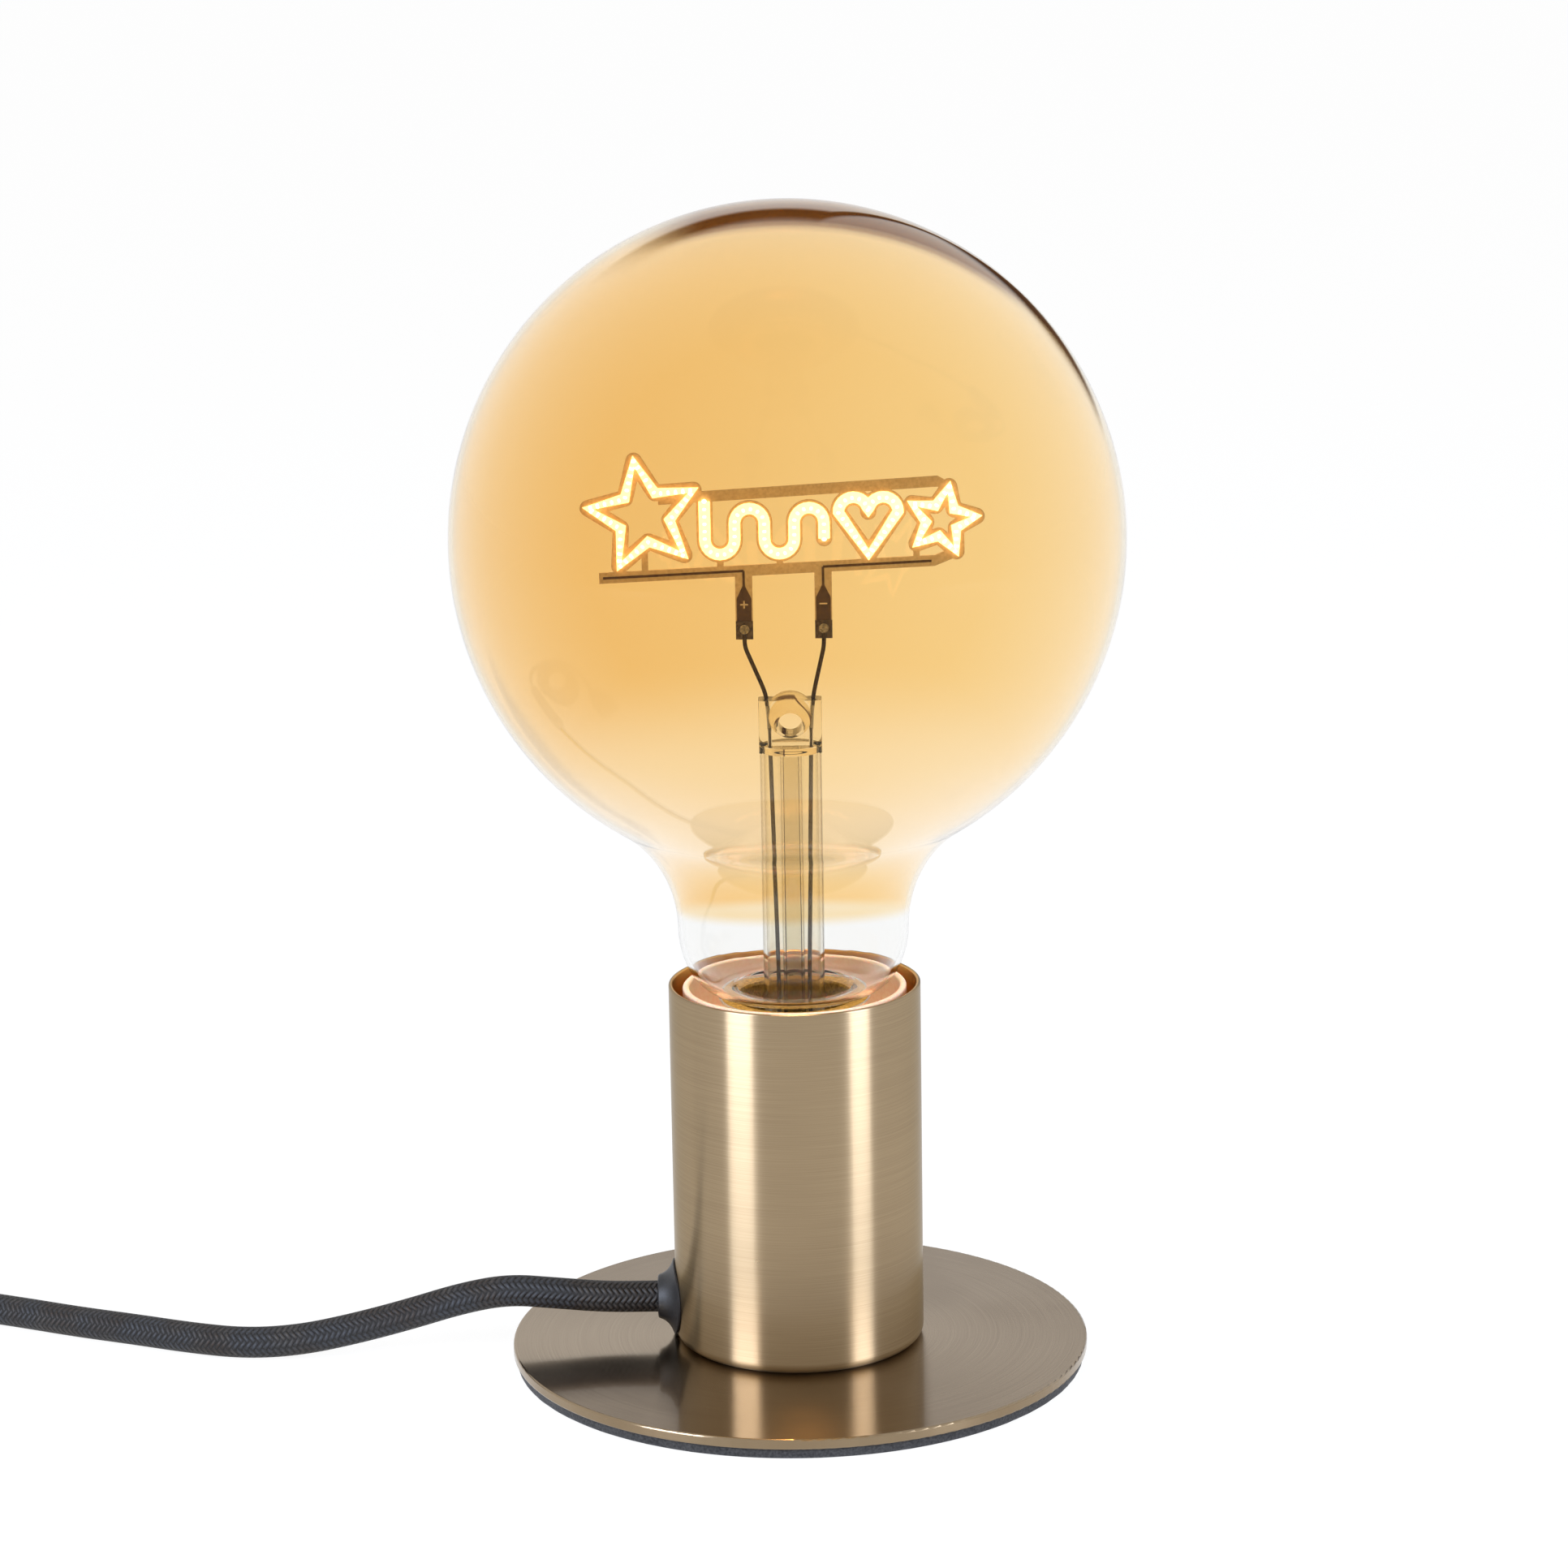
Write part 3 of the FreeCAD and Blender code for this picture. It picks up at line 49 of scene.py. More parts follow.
def toLinear(hexValue):
    channels = [int(hexValue[i:i + 2], 16) / 255 for i in (1, 3, 5)]
    return [c / 12.92 if c <= 0.04045 else ((c + 0.055) / 1.055) ** 2.4 for c in channels] + [1.0]


# sets a node's attributes and input values; a hex colour is turned to linear, and a value that is a node or
# a socket is linked to the input, a node by its first output
def setNode(tree, node, settings):
    for key, value in settings.items():
        if isinstance(value, bpy.types.Node):
            value = value.outputs[0]
        elif isinstance(value, str) and value.startswith("#"):
            value = toLinear(value)
        if isinstance(value, bpy.types.NodeSocket):
            tree.links.new(value, node.inputs[key])
        elif isinstance(key, str) and hasattr(node, key):
            setattr(node, key, value)
        else:
            node.inputs[key].default_value = value


def addNode(tree, kind, settings=None):
    node = tree.nodes.new(kind)
    setNode(tree, node, settings or {})
    return node


def emptyTree(owner):
    owner.use_nodes = True
    owner.node_tree.nodes.clear()
    return owner.node_tree


# a new material with one Principled shader; returns material, tree and shader
def startMaterial(name, settings):
    material = bpy.data.materials.new(name)
    tree = emptyTree(material)
    shader = addNode(tree, "ShaderNodeBsdfPrincipled", settings)
    addNode(tree, "ShaderNodeOutputMaterial", {"Surface": shader})
    return material, tree, shader


def addPiece(name, mesh, material=None):
    piece = bpy.data.objects.new(name, mesh)
    scene.collection.objects.link(piece)
    if material:
        mesh.materials.clear()
        mesh.materials.append(material)
    return piece


def smoothMesh(mesh, angle=40):
    mesh.shade_smooth()
    mesh.set_sharp_from_angle(angle=math.radians(angle))


# evenly spaced angles round a circle
def roundTurns(sides):
    return [2 * math.pi * k / sides for k in range(sides)]


# points along an arc, from one angle in degrees to another
def arcPoints(centre, radius, start, end, steps):
    x, z = centre
    turns = [math.radians(start + (end - start) * k / steps) for k in range(steps + 1)]
    return [(x + radius * math.cos(turn), z + radius * math.sin(turn)) for turn in turns]


# joins two rings of vertices by faces
def joinRings(build, near, far):
    for k in range(len(near)):
        after = (k + 1) % len(near)
        build.faces.new((near[k], near[after], far[after], far[k]))


# the mesh of what was built; its faces are turned outwards unless they already are
def closeBuild(name, build, turnOut=True):
    if turnOut:
        bmesh.ops.recalc_face_normals(build, faces=build.faces)
    mesh = bpy.data.meshes.new(name)
    build.to_mesh(mesh)
    build.free()
    return mesh


# camera, where the photographer stood

cameraView = {
    "place": (2.463, -720.13, 272.94), "lens": 90.52, "sensor": 36,  # mm
    "pitchDown": 0.2196, "yaw": -0.0053, "roll": -0.0166,  # radians
    "nearest": 0.05, "farthest": 30,  # metres
}


def placeCamera(view):
    data = bpy.data.cameras.new("lampCamera")
    data.lens = view["lens"]
    data.sensor_width = view["sensor"]
    data.clip_start = view["nearest"]
    data.clip_end = view["farthest"]
    yaw, pitch, roll = view["yaw"], view["pitchDown"], view["roll"]
    ahead = Vector((math.sin(yaw) * math.cos(pitch), math.cos(yaw) * math.cos(pitch), -math.sin(pitch)))
    right = Vector((math.cos(yaw), -math.sin(yaw), 0))
    up = right.cross(ahead)
    rightRolled = right * math.cos(roll) + up * math.sin(roll)
    upRolled = up * math.cos(roll) - right * math.sin(roll)
    turn = Matrix((rightRolled, upRolled, -ahead)).transposed()
    camera = bpy.data.objects.new("lampCamera", data)
    scene.collection.objects.link(camera)
    camera.matrix_world = Matrix.Translation(Vector(view["place"]) * mm) @ turn.to_4x4()
    scene.camera = camera


placeCamera(cameraView)

# cords: sizes in metres, and the routes that they lie along

cordSizes = {
    "diameter": 0.006, "sides": 24, "lineSteps": 12, "splineOrder": 3,
    "coilCentre": (-0.2576, -0.0080), "coilRadius": 0.0464, "coilStep": 0.0067, "coilTurns": 6.125,
    "coilStart": 180.0, "coilLow": 0.0038, "climbTurns": 0.5, "pointsPerTurn": 16,
    "endTurns": 0.04, "leadIn": 0.021, "leadOut": 0.017,
}

# the cord goes straight in and out of the switch by these doors
switchPlace = {
    "centre": (-0.2136, 0.0462), "heading": 155.3, "door": 0.037, "approach": 0.0075, "level": 0.0048,
}


def switchDoor(side, outside):
    reach = side * (switchPlace["door"] + outside)
    turn = math.radians(switchPlace["heading"])
    x, y = switchPlace["centre"]
    return (x + reach * math.cos(turn), y + reach * math.sin(turn), switchPlace["level"])


# control points, in metres: from the cord grip through the grommet to the switch
runRoute = [
    (-0.0090, 0.0000, 0.0115), (-0.02715, 0.0000, 0.0115), (-0.03715, 0.0000, 0.0115),
    (-0.0470, 0.0001, 0.0124), (-0.0560, 0.0002, 0.0132), (-0.0650, 0.0002, 0.0116),
    (-0.0755, 0.0000, 0.0085), (-0.0860, -0.0001, 0.0058), (-0.0965, -0.0002, 0.0037),
    (-0.1070, 0.0001, 0.00305), (-0.1180, 0.0036, 0.0030), (-0.1300, 0.0087, 0.00305),
    (-0.1420, 0.0136, 0.0030), (-0.1535, 0.0189, 0.00305), (-0.1641, 0.0235, 0.00305),
    switchDoor(-1, switchPlace["approach"]), switchDoor(-1, 0),
]
# from the switch round to the coil
linkRoute = [
    switchDoor(1, 0), switchDoor(1, switchPlace["approach"]),
    (-0.2643, 0.0669, 0.0040), (-0.2772, 0.0657, 0.0034), (-0.2897, 0.0593, 0.0033),
    (-0.2994, 0.0479, 0.0034), (-0.3042, 0.0326, 0.0036),
]
# from the coil to the plug
tailRoute = [
    (-0.2648, -0.0623, 0.0084), (-0.2526, -0.0666, 0.0066), (-0.2405, -0.0680, 0.0070),
    (-0.2330, -0.0680, 0.0070),
]


# the coil spirals in on its lower layer, climbs where it is narrowest and spirals out on top
def coilPoint(turns):
    size = cordSizes
    climbFrom = (size["coilTurns"] - size["climbTurns"]) / 2
    past = turns - climbFrom
    climbed = min(max(past / size["climbTurns"], 0), 1)
    if climbed <= 0:
        inward = turns
    elif climbed >= 1:
        inward = size["coilTurns"] - turns
    else:
        inward = climbFrom + past - past ** 2 / size["climbTurns"]
    radius = size["coilRadius"] - size["coilStep"] * inward
    level = size["coilLow"] + size["coilStep"] * climbed ** 2 * (3 - 2 * climbed)
    angle = math.radians(size["coilStart"] + 360 * turns)
    x, y = size["coilCentre"]
    return Vector((x + radius * math.cos(angle), y + radius * math.sin(angle), level))


# the coil's points, with a straight lead on at either end
def coilRoute():
    turns, nudge = cordSizes["coilTurns"], cordSizes["endTurns"]
    count = round(turns * cordSizes["pointsPerTurn"])
    points = [coilPoint(turns * k / count) for k in range(count + 1)]
    leadIn = points[0] + (points[0] - coilPoint(nudge)).normalized() * cordSizes["leadIn"]
    leadOut = points[-1] + (points[-1] - coilPoint(turns - nudge)).normalized() * cordSizes["leadOut"]
    return [tuple(point) for point in [leadIn] + points + [leadOut]]


# the smooth line of a route: a NURBS spline whose control points are the route's
def routeLine(name, route):
    curve = bpy.data.curves.new(name, "CURVE")
    curve.dimensions = "3D"
    spline = curve.splines.new("NURBS")
    spline.points.add(len(route) - 1)
    for point, place in zip(spline.points, route):
        point.co = (*place, 1)
    spline.order_u = cordSizes["splineOrder"]
    spline.use_endpoint_u = True
    spline.resolution_u = cordSizes["lineSteps"]
    holder = bpy.data.objects.new(name, curve)
    scene.collection.objects.link(holder)
    evaluated = holder.evaluated_get(bpy.context.evaluated_depsgraph_get())
    mesh = bpy.data.meshes.new_from_object(evaluated)
    line = [vertex.co.copy() for vertex in mesh.vertices]
    bpy.data.objects.remove(holder)
    bpy.data.meshes.remove(mesh)
    return line


# a round tube along a line; its UV is metres along the cord, and share of the way round
def tubeMesh(name, line, radius, sides):
    build = bmesh.new()
    uvLayer = build.loops.layers.uv.new("UVMap")
    rings, travelled = [], [0.0]
    side = None
    for i, centre in enumerate(line):
        heading = (line[min(i + 1, len(line) - 1)] - line[max(i - 1, 0)]).normalized()
        if side is None:
            side = heading.cross(Vector((0, 0, 1))).normalized()
        side = (side - heading * side.dot(heading)).normalized()
        lift = heading.cross(side)
        if i:
            travelled.append(travelled[-1] + (centre - line[i - 1]).length)
        spokes = [side * math.cos(turn) + lift * math.sin(turn) for turn in roundTurns(sides)]
        rings.append([build.verts.new(centre + spoke * radius) for spoke in spokes])
    for i in range(len(rings) - 1):
        for k in range(sides):
            after = (k + 1) % sides
            face = build.faces.new((rings[i][k], rings[i][after], rings[i + 1][after], rings[i + 1][k]))
            corners = [(i, k), (i, k + 1), (i + 1, k + 1), (i + 1, k)]
            for loop, (row, column) in zip(face.loops, corners):
                loop[uvLayer].uv = (travelled[row], column / sides)
    build.faces.new(reversed(rings[0]))
    build.faces.new(rings[-1])
    mesh = closeBuild(name, build)
    mesh.shade_smooth()
    return mesh, travelled[-1]


runLine = routeLine("runLine", runRoute)
leadLine = routeLine("leadLine", linkRoute + coilRoute() + tailRoute)
runMesh, runLength = tubeMesh("cordRun", runLine, cordSizes["diameter"] / 2, cordSizes["sides"])
leadMesh, leadLength = tubeMesh("cordLead", leadLine, cordSizes["diameter"] / 2, cordSizes["sides"])
print("cords:", round(runLength, 3), "m and", round(leadLength, 3), "m")


# polyester yarn braided two over two, nearly black: a painted sheen makes the short raised dashes paler, as
# if they caught the light, and leaves them nearly black between
def wovenBraid():
    braid = {
        "strands": 12, "diamond": 1.15 * mm, "darkYarn": "#121010", "paintedSheenYarn": "#4C4743",
        "brownYarn": "#3A302A", "blueYarn": "#404247", "fibre": 0.5 * mm, "brownPatch": 5 * mm,
        "bluePatch": 9 * mm,
    }
    material, tree, shader = startMaterial("polyesterBraid", {"Roughness": 0.55, "Specular IOR Level": 0.4})
    place = addNode(tree, "ShaderNodeUVMap", {"uv_map": "UVMap"})
    parts = addNode(tree, "ShaderNodeSeparateXYZ", {0: place})
    along = addNode(tree, "ShaderNodeMath", {"operation": "DIVIDE", 0: parts, 1: braid["diamond"]})
    around = addNode(tree, "ShaderNodeMath", {
        "operation": "MULTIPLY", 0: parts.outputs[1], 1: float(braid["strands"]),
    })
    first = addNode(tree, "ShaderNodeMath", {"operation": "ADD", 0: along, 1: around})
    second = addNode(tree, "ShaderNodeMath", {"operation": "SUBTRACT", 0: along, 1: around})
    firstCell = addNode(tree, "ShaderNodeMath", {"operation": "FLOOR", 0: first})
    secondCell = addNode(tree, "ShaderNodeMath", {"operation": "FLOOR", 0: second})
    apart = addNode(tree, "ShaderNodeMath", {"operation": "SUBTRACT", 0: firstCell, 1: secondCell})
    cycle = addNode(tree, "ShaderNodeMath", {"operation": "FLOORED_MODULO", 0: apart, 1: 4.0})
    onTop = addNode(tree, "ShaderNodeMath", {"operation": "LESS_THAN", 0: cycle, 1: 1.5})
    heights = []
    for across, lengthwise, way, start in ((first, second, -1.0, 1.0), (second, first, 1.0, -2.0)):
        share = addNode(tree, "ShaderNodeMath", {"operation": "FRACT", 0: across})
        wave = addNode(tree, "ShaderNodeMath", {"operation": "MULTIPLY", 0: share, 1: math.pi})
        hump = addNode(tree, "ShaderNodeMath", {"operation": "SINE", 0: wave})
        step = addNode(tree, "ShaderNodeMath", {"operation": "FRACT", 0: lengthwise})
        shifted = addNode(tree, "ShaderNodeMath", {
            "operation": "MULTIPLY_ADD", 0: step, 1: way, 2: start,
        })
        passed = addNode(tree, "ShaderNodeMath", {"operation": "ADD", 0: shifted, 1: cycle})
        half = addNode(tree, "ShaderNodeMath", {"operation": "MULTIPLY", 0: passed, 1: math.pi / 2})
        rise = addNode(tree, "ShaderNodeMath", {"operation": "SINE", 0: half})
        lifted = addNode(tree, "ShaderNodeMath", {"operation": "MULTIPLY_ADD", 0: rise, 1: 0.6, 2: 0.4})
        heights.append(addNode(tree, "ShaderNodeMath", {"operation": "MULTIPLY", 0: hump, 1: lifted}))
    height = addNode(tree, "ShaderNodeMix", {
        "data_type": "FLOAT", "Factor": onTop, 2: heights[1], 3: heights[0],
    })
    body = addNode(tree, "ShaderNodeTexCoord").outputs["Object"]
    fibre = addNode(tree, "ShaderNodeTexNoise", {
        "Scale": 1 / braid["fibre"], "Detail": 3.0, "Vector": body,
    })
    patch = addNode(tree, "ShaderNodeTexNoise", {
        "Scale": 1 / braid["brownPatch"], "Detail": 2.0, "Vector": body,
    })
    cool = addNode(tree, "ShaderNodeTexNoise", {
        "Scale": 1 / braid["bluePatch"], "Detail": 1.0, "Vector": body,
    })
    warmShare = addNode(tree, "ShaderNodeMapRange", {"From Min": 0.42, "From Max": 0.62, "Value": patch})
    coolShare = addNode(tree, "ShaderNodeMapRange", {"From Min": 0.45, "From Max": 0.6, "Value": cool})
    # the brown and blue patches tint the painted sheen at random
    paintedSheenPatched = addNode(tree, "ShaderNodeMix", {
        "data_type": "RGBA", "Factor": warmShare, 6: braid["paintedSheenYarn"], 7: braid["brownYarn"],
    })
    mottled = addNode(tree, "ShaderNodeMix", {
        "data_type": "RGBA", "Factor": coolShare, 6: paintedSheenPatched.outputs[2], 7: braid["blueYarn"],
    })
    # painted sheen: the colour turns from the near black yarn to a paler one where the weave stands higher,
    # broken by the fibre grain
    lit = addNode(tree, "ShaderNodeMath", {"operation": "MULTIPLY", 0: height, 1: fibre})
    paintedSheenShare = addNode(tree, "ShaderNodeMapRange", {"From Min": 0.12, "From Max": 0.62, "Value": lit})
    colour = addNode(tree, "ShaderNodeMix", {
        "data_type": "RGBA", "Factor": paintedSheenShare, 6: braid["darkYarn"], 7: mottled.outputs[2],
    })
    relief = addNode(tree, "ShaderNodeBump", {"Strength": 0.9, "Distance": 0.3 * mm, "Height": height})
    setNode(tree, shader, {"Base Color": colour.outputs[2], "Normal": relief})
    return material


# satin brass under lacquer, turned against fine grit: hairlines round the axis draw every light into a
# soft band; they are drawn a few times coarser than the real ones, to show at this size
def brushedBrass(name, finish, onPlate):
    material, tree, shader = startMaterial(name, {
        "Metallic": 1.0, "Roughness": finish["roughness"], "Anisotropic": finish["anisotropy"],
        "Anisotropic Rotation": 0.25, "Specular Tint": finish["edgeTint"], "Coat Weight": finish["lacquer"],
        "Coat Roughness": finish["lacquerBlur"], "Coat IOR": 1.5,
    })
    place = addNode(tree, "ShaderNodeTexCoord").outputs["Object"]
    parts = addNode(tree, "ShaderNodeSeparateXYZ", {0: place})
    flat = addNode(tree, "ShaderNodeCombineXYZ", {0: parts, 1: parts.outputs[1]})
    reach = addNode(tree, "ShaderNodeVectorMath", {"operation": "LENGTH", 0: flat})
    across = reach.outputs["Value"] if onPlate else parts.outputs[2]
    quick = addNode(tree, "ShaderNodeMath", {
        "operation": "MULTIPLY", 0: across, 1: 1 / finish["lineWidth"],
    })
    slowX = addNode(tree, "ShaderNodeMath", {
        "operation": "MULTIPLY", 0: parts, 1: 1 / finish["lineLength"],
    })
    slowY = addNode(tree, "ShaderNodeMath", {
        "operation": "MULTIPLY", 0: parts.outputs[1], 1: 1 / finish["lineLength"],
    })
    streak = addNode(tree, "ShaderNodeCombineXYZ", {0: slowX, 1: slowY, 2: quick})
    lines = addNode(tree, "ShaderNodeTexNoise", {
        "Scale": 1.0, "Detail": 3.0, "Roughness": 0.55, "Vector": streak,
    })
    cloud = addNode(tree, "ShaderNodeTexNoise", {
        "Scale": 1 / finish["cloud"], "Detail": 2.0, "Vector": place,
    })
    tone = addNode(tree, "ShaderNodeMapRange", {"From Min": 0.25, "From Max": 0.75, "Value": lines})
    colour = addNode(tree, "ShaderNodeMix", {
        "data_type": "RGBA", "Factor": tone, 6: finish["dark"], 7: finish["pale"],
    })
    rough = addNode(tree, "ShaderNodeMapRange", {
        "From Min": 0.3, "From Max": 0.7, "To Min": finish["roughness"] - 0.03,
        "To Max": finish["roughness"] + 0.03, "Value": cloud,
    })
    relief = addNode(tree, "ShaderNodeBump", {"Strength": 0.06, "Distance": 0.02 * mm, "Height": lines})
    grain = addNode(tree, "ShaderNodeTangent", {"direction_type": "RADIAL", "axis": "Z"})
    if onPlate:
        setNode(tree, shader, {"Base Color": colour.outputs[2]})
    else:
        # the inside of the cup is bare, golden metal, with painted light: brighter and warmer, as the bulb's
        # glow falls on it
        within = addNode(tree, "ShaderNodeMath", {
            "operation": "LESS_THAN", 0: reach.outputs["Value"], 1: finish["insideRadius"],
        })
        aboveFoot = addNode(tree, "ShaderNodeMath", {
            "operation": "GREATER_THAN", 0: parts.outputs[2], 1: finish["insideLevel"],
        })
        inside = addNode(tree, "ShaderNodeMath", {"operation": "MULTIPLY", 0: within, 1: aboveFoot})
        shown = addNode(tree, "ShaderNodeMix", {
            "data_type": "RGBA", "Factor": inside, 6: colour.outputs[2], 7: finish["bareWithPaintedGlow"],
        })
        setNode(tree, shader, {"Base Color": shown.outputs[2]})
    setNode(tree, shader, {"Roughness": rough, "Normal": relief, "Tangent": grain})
    return material


# blown soda-lime glass with a sprayed amber coat: warm and even in the middle, thinner above the neck,
# thicker again at the coat's soft lower edge, and clear below it; painted light makes it paler towards the
# right, a painted reflection makes it pale where it turns away, and a painted shade darkens the crown
def amberGlass():
    coat = {
        "amber": "#F7D9A2", "paintedLitTint": "#FBE6BA", "amberSide": -55 * mm, "paintedLitSide": 60 * mm,
        "pale": "#FEF4E4", "clear": "#FAFAF9", "fadeLow": 86.6 * mm, "fadeHigh": 89.4 * mm, "slant": 0.15,
        "thinLevel": 107 * mm, "thinReach": 20 * mm, "crownPaintedShade": "#6E4216", "crownLow": 194 * mm,
        "crownHigh": 207 * mm, "crownLeft": -30 * mm, "crownFull": -14 * mm, "crownNarrowing": -80,
        "ripple": 22 * mm,
    }
    material, tree, shader = startMaterial("amberCoatedGlass", {
        "Transmission Weight": 1.0, "Roughness": 0.0, "IOR": 1.5, "Specular Tint": (0.2, 0.2, 0.2, 1),
    })
    place = addNode(tree, "ShaderNodeTexCoord").outputs["Object"]
    parts = addNode(tree, "ShaderNodeSeparateXYZ", {0: place})
    # painted light: the amber turns paler from the left to the right side, as if lit from the right
    paintedLitSideShare = addNode(tree, "ShaderNodeMapRange", {
        "interpolation_type": "SMOOTHSTEP", "From Min": coat["amberSide"], "From Max": coat["paintedLitSide"],
        "Value": parts,
    })
    amber = addNode(tree, "ShaderNodeMix", {
        "data_type": "RGBA", "Factor": paintedLitSideShare, 6: coat["amber"], 7: coat["paintedLitTint"],
    })
    fromThin = addNode(tree, "ShaderNodeMath", {
        "operation": "SUBTRACT", 0: parts.outputs[2], 1: coat["thinLevel"],
    })
    thinGap = addNode(tree, "ShaderNodeMath", {"operation": "ABSOLUTE", 0: fromThin})
    thinShare = addNode(tree, "ShaderNodeMapRange", {
        "interpolation_type": "SMOOTHSTEP", "From Min": 0.0, "From Max": coat["thinReach"], "To Min": 1.0,
        "To Max": 0.0, "Value": thinGap,
    })
    # painted reflection: the colour turns pale where the glass turns away from the view, standing in for the
    # lit walls it would mirror; the pale band above the neck is the coat's own thinness
    facing = addNode(tree, "ShaderNodeLayerWeight", {"Blend": 0.5})
    paintedEdgeShare = addNode(tree, "ShaderNodeMapRange", {
        "From Min": 0.2, "From Max": 0.75, "To Max": 0.9, "Value": facing.outputs["Facing"],
    })
    thinCoatAndPaintedEdgeShare = addNode(tree, "ShaderNodeMath", {"operation": "MAXIMUM", 0: thinShare, 1: paintedEdgeShare})
    coated = addNode(tree, "ShaderNodeMix", {
        "data_type": "RGBA", "Factor": thinCoatAndPaintedEdgeShare, 6: amber.outputs[2], 7: coat["pale"],
    })
    # the crown's deep brown arc is painted shade: a darker colour of the glass, set by facing, height and
    # side, that stands in for a dark reflection at the crown; it mirrors nothing
    asideSquared = addNode(tree, "ShaderNodeMath", {"operation": "MULTIPLY", 0: parts, 1: parts})
    narrowed = addNode(tree, "ShaderNodeMath", {
        "operation": "MULTIPLY_ADD", 0: asideSquared, 1: coat["crownNarrowing"],
        2: facing.outputs["Facing"],
    })
    crownEdge = addNode(tree, "ShaderNodeMapRange", {
        "From Min": 0.6, "From Max": 0.65, "Value": narrowed,
    })
    crownSide = addNode(tree, "ShaderNodeMapRange", {
        "interpolation_type": "SMOOTHSTEP", "From Min": coat["crownLeft"], "From Max": coat["crownFull"],
        "Value": parts,
    })
    crownRise = addNode(tree, "ShaderNodeMapRange", {
        "interpolation_type": "SMOOTHSTEP", "From Min": coat["crownLow"], "From Max": coat["crownHigh"],
        "Value": parts.outputs[2],
    })
    crownPart = addNode(tree, "ShaderNodeMath", {"operation": "MULTIPLY", 0: crownSide, 1: crownRise})
    paintedCrownShare = addNode(tree, "ShaderNodeMath", {"operation": "MULTIPLY", 0: crownPart, 1: crownEdge})
    withPaintedCrownShade = addNode(tree, "ShaderNodeMix", {
        "data_type": "RGBA", "Factor": paintedCrownShare, 6: coated.outputs[2], 7: coat["crownPaintedShade"],
    })
    # the spray ended a little lower at the back
    slanted = addNode(tree, "ShaderNodeMath", {
        "operation": "MULTIPLY_ADD", 0: parts.outputs[1], 1: coat["slant"], 2: parts.outputs[2],
    })
    share = addNode(tree, "ShaderNodeMapRange", {
        "interpolation_type": "SMOOTHSTEP", "From Min": coat["fadeLow"], "From Max": coat["fadeHigh"],
        "Value": slanted,
    })
    colour = addNode(tree, "ShaderNodeMix", {
        "data_type": "RGBA", "Factor": share, 6: coat["clear"], 7: withPaintedCrownShade.outputs[2],
    })
    ripple = addNode(tree, "ShaderNodeTexNoise", {
        "Scale": 1 / coat["ripple"], "Detail": 1.0, "Vector": place,
    })
    wavy = addNode(tree, "ShaderNodeBump", {"Strength": 0.05, "Distance": 0.4 * mm, "Height": ripple})
    setNode(tree, shader, {"Base Color": colour.outputs[2], "Normal": wavy})
    return material


# drawn lead glass: clear rods and tubes with bright and dark lines along their edges; the dark lines are
# painted shade, a darker colour where the surface turns away from the view
def drawnGlass():
    glass = {"clear": "#F8F4E9", "edge": "#5C4A34", "ripple": 5 * mm}
    material, tree, shader = startMaterial("drawnGlassTube", {
        "Transmission Weight": 1.0, "Roughness": 0.0, "IOR": 1.5,
    })
    place = addNode(tree, "ShaderNodeTexCoord").outputs["Object"]
    # painted shade: the edge colour darkens the glass where it turns away from the view
    facing = addNode(tree, "ShaderNodeLayerWeight", {"Blend": 0.5})
    paintedEdgeShare = addNode(tree, "ShaderNodeMapRange", {
        "From Min": 0.5, "From Max": 0.9, "Value": facing.outputs["Facing"],
    })
    colour = addNode(tree, "ShaderNodeMix", {
        "data_type": "RGBA", "Factor": paintedEdgeShare, 6: glass["clear"], 7: glass["edge"],
    })
    ripple = addNode(tree, "ShaderNodeTexNoise", {
        "Scale": 1 / glass["ripple"], "Detail": 1.0, "Vector": place,
    })
    wavy = addNode(tree, "ShaderNodeBump", {"Strength": 0.08, "Distance": 0.2 * mm, "Height": ripple})
    setNode(tree, shader, {"Base Color": colour.outputs[2], "Normal": wavy})
    return material


# moulded, plated, rolled or pressed stuff: colour, gloss and relief all vary with its own fine grain
def grainedStuff(name, look):
    grainSize, wearSize = look["grain"] * mm, 8 * mm
    settings = {"Metallic": look.get("metallic", 0.0), "Roughness": look["roughness"]}
    settings.update(look.get("more", {}))
    material, tree, shader = startMaterial(name, settings)
    place = addNode(tree, "ShaderNodeTexCoord").outputs["Object"]
    grain = addNode(tree, "ShaderNodeTexNoise", {
        "Scale": 1 / grainSize, "Detail": 3.0, "Vector": place,
    })
    wear = addNode(tree, "ShaderNodeTexNoise", {"Scale": 1 / wearSize, "Detail": 2.0, "Vector": place})
    tone = addNode(tree, "ShaderNodeMapRange", {"From Min": 0.32, "From Max": 0.68, "Value": grain})
    colour = addNode(tree, "ShaderNodeMix", {
        "data_type": "RGBA", "Factor": tone, 6: look["dark"], 7: look["pale"],
    })
    rough = addNode(tree, "ShaderNodeMapRange", {
        "From Min": 0.3, "From Max": 0.7, "To Min": look["roughness"] * 0.85,
        "To Max": min(1.0, look["roughness"] * 1.15), "Value": wear,
    })
    relief = addNode(tree, "ShaderNodeBump", {
        "Strength": look.get("relief", 0.3), "Distance": grainSize * 0.25, "Height": grain,
    })
    setNode(tree, shader, {"Base Color": colour.outputs[2], "Roughness": rough, "Normal": relief})
    return material


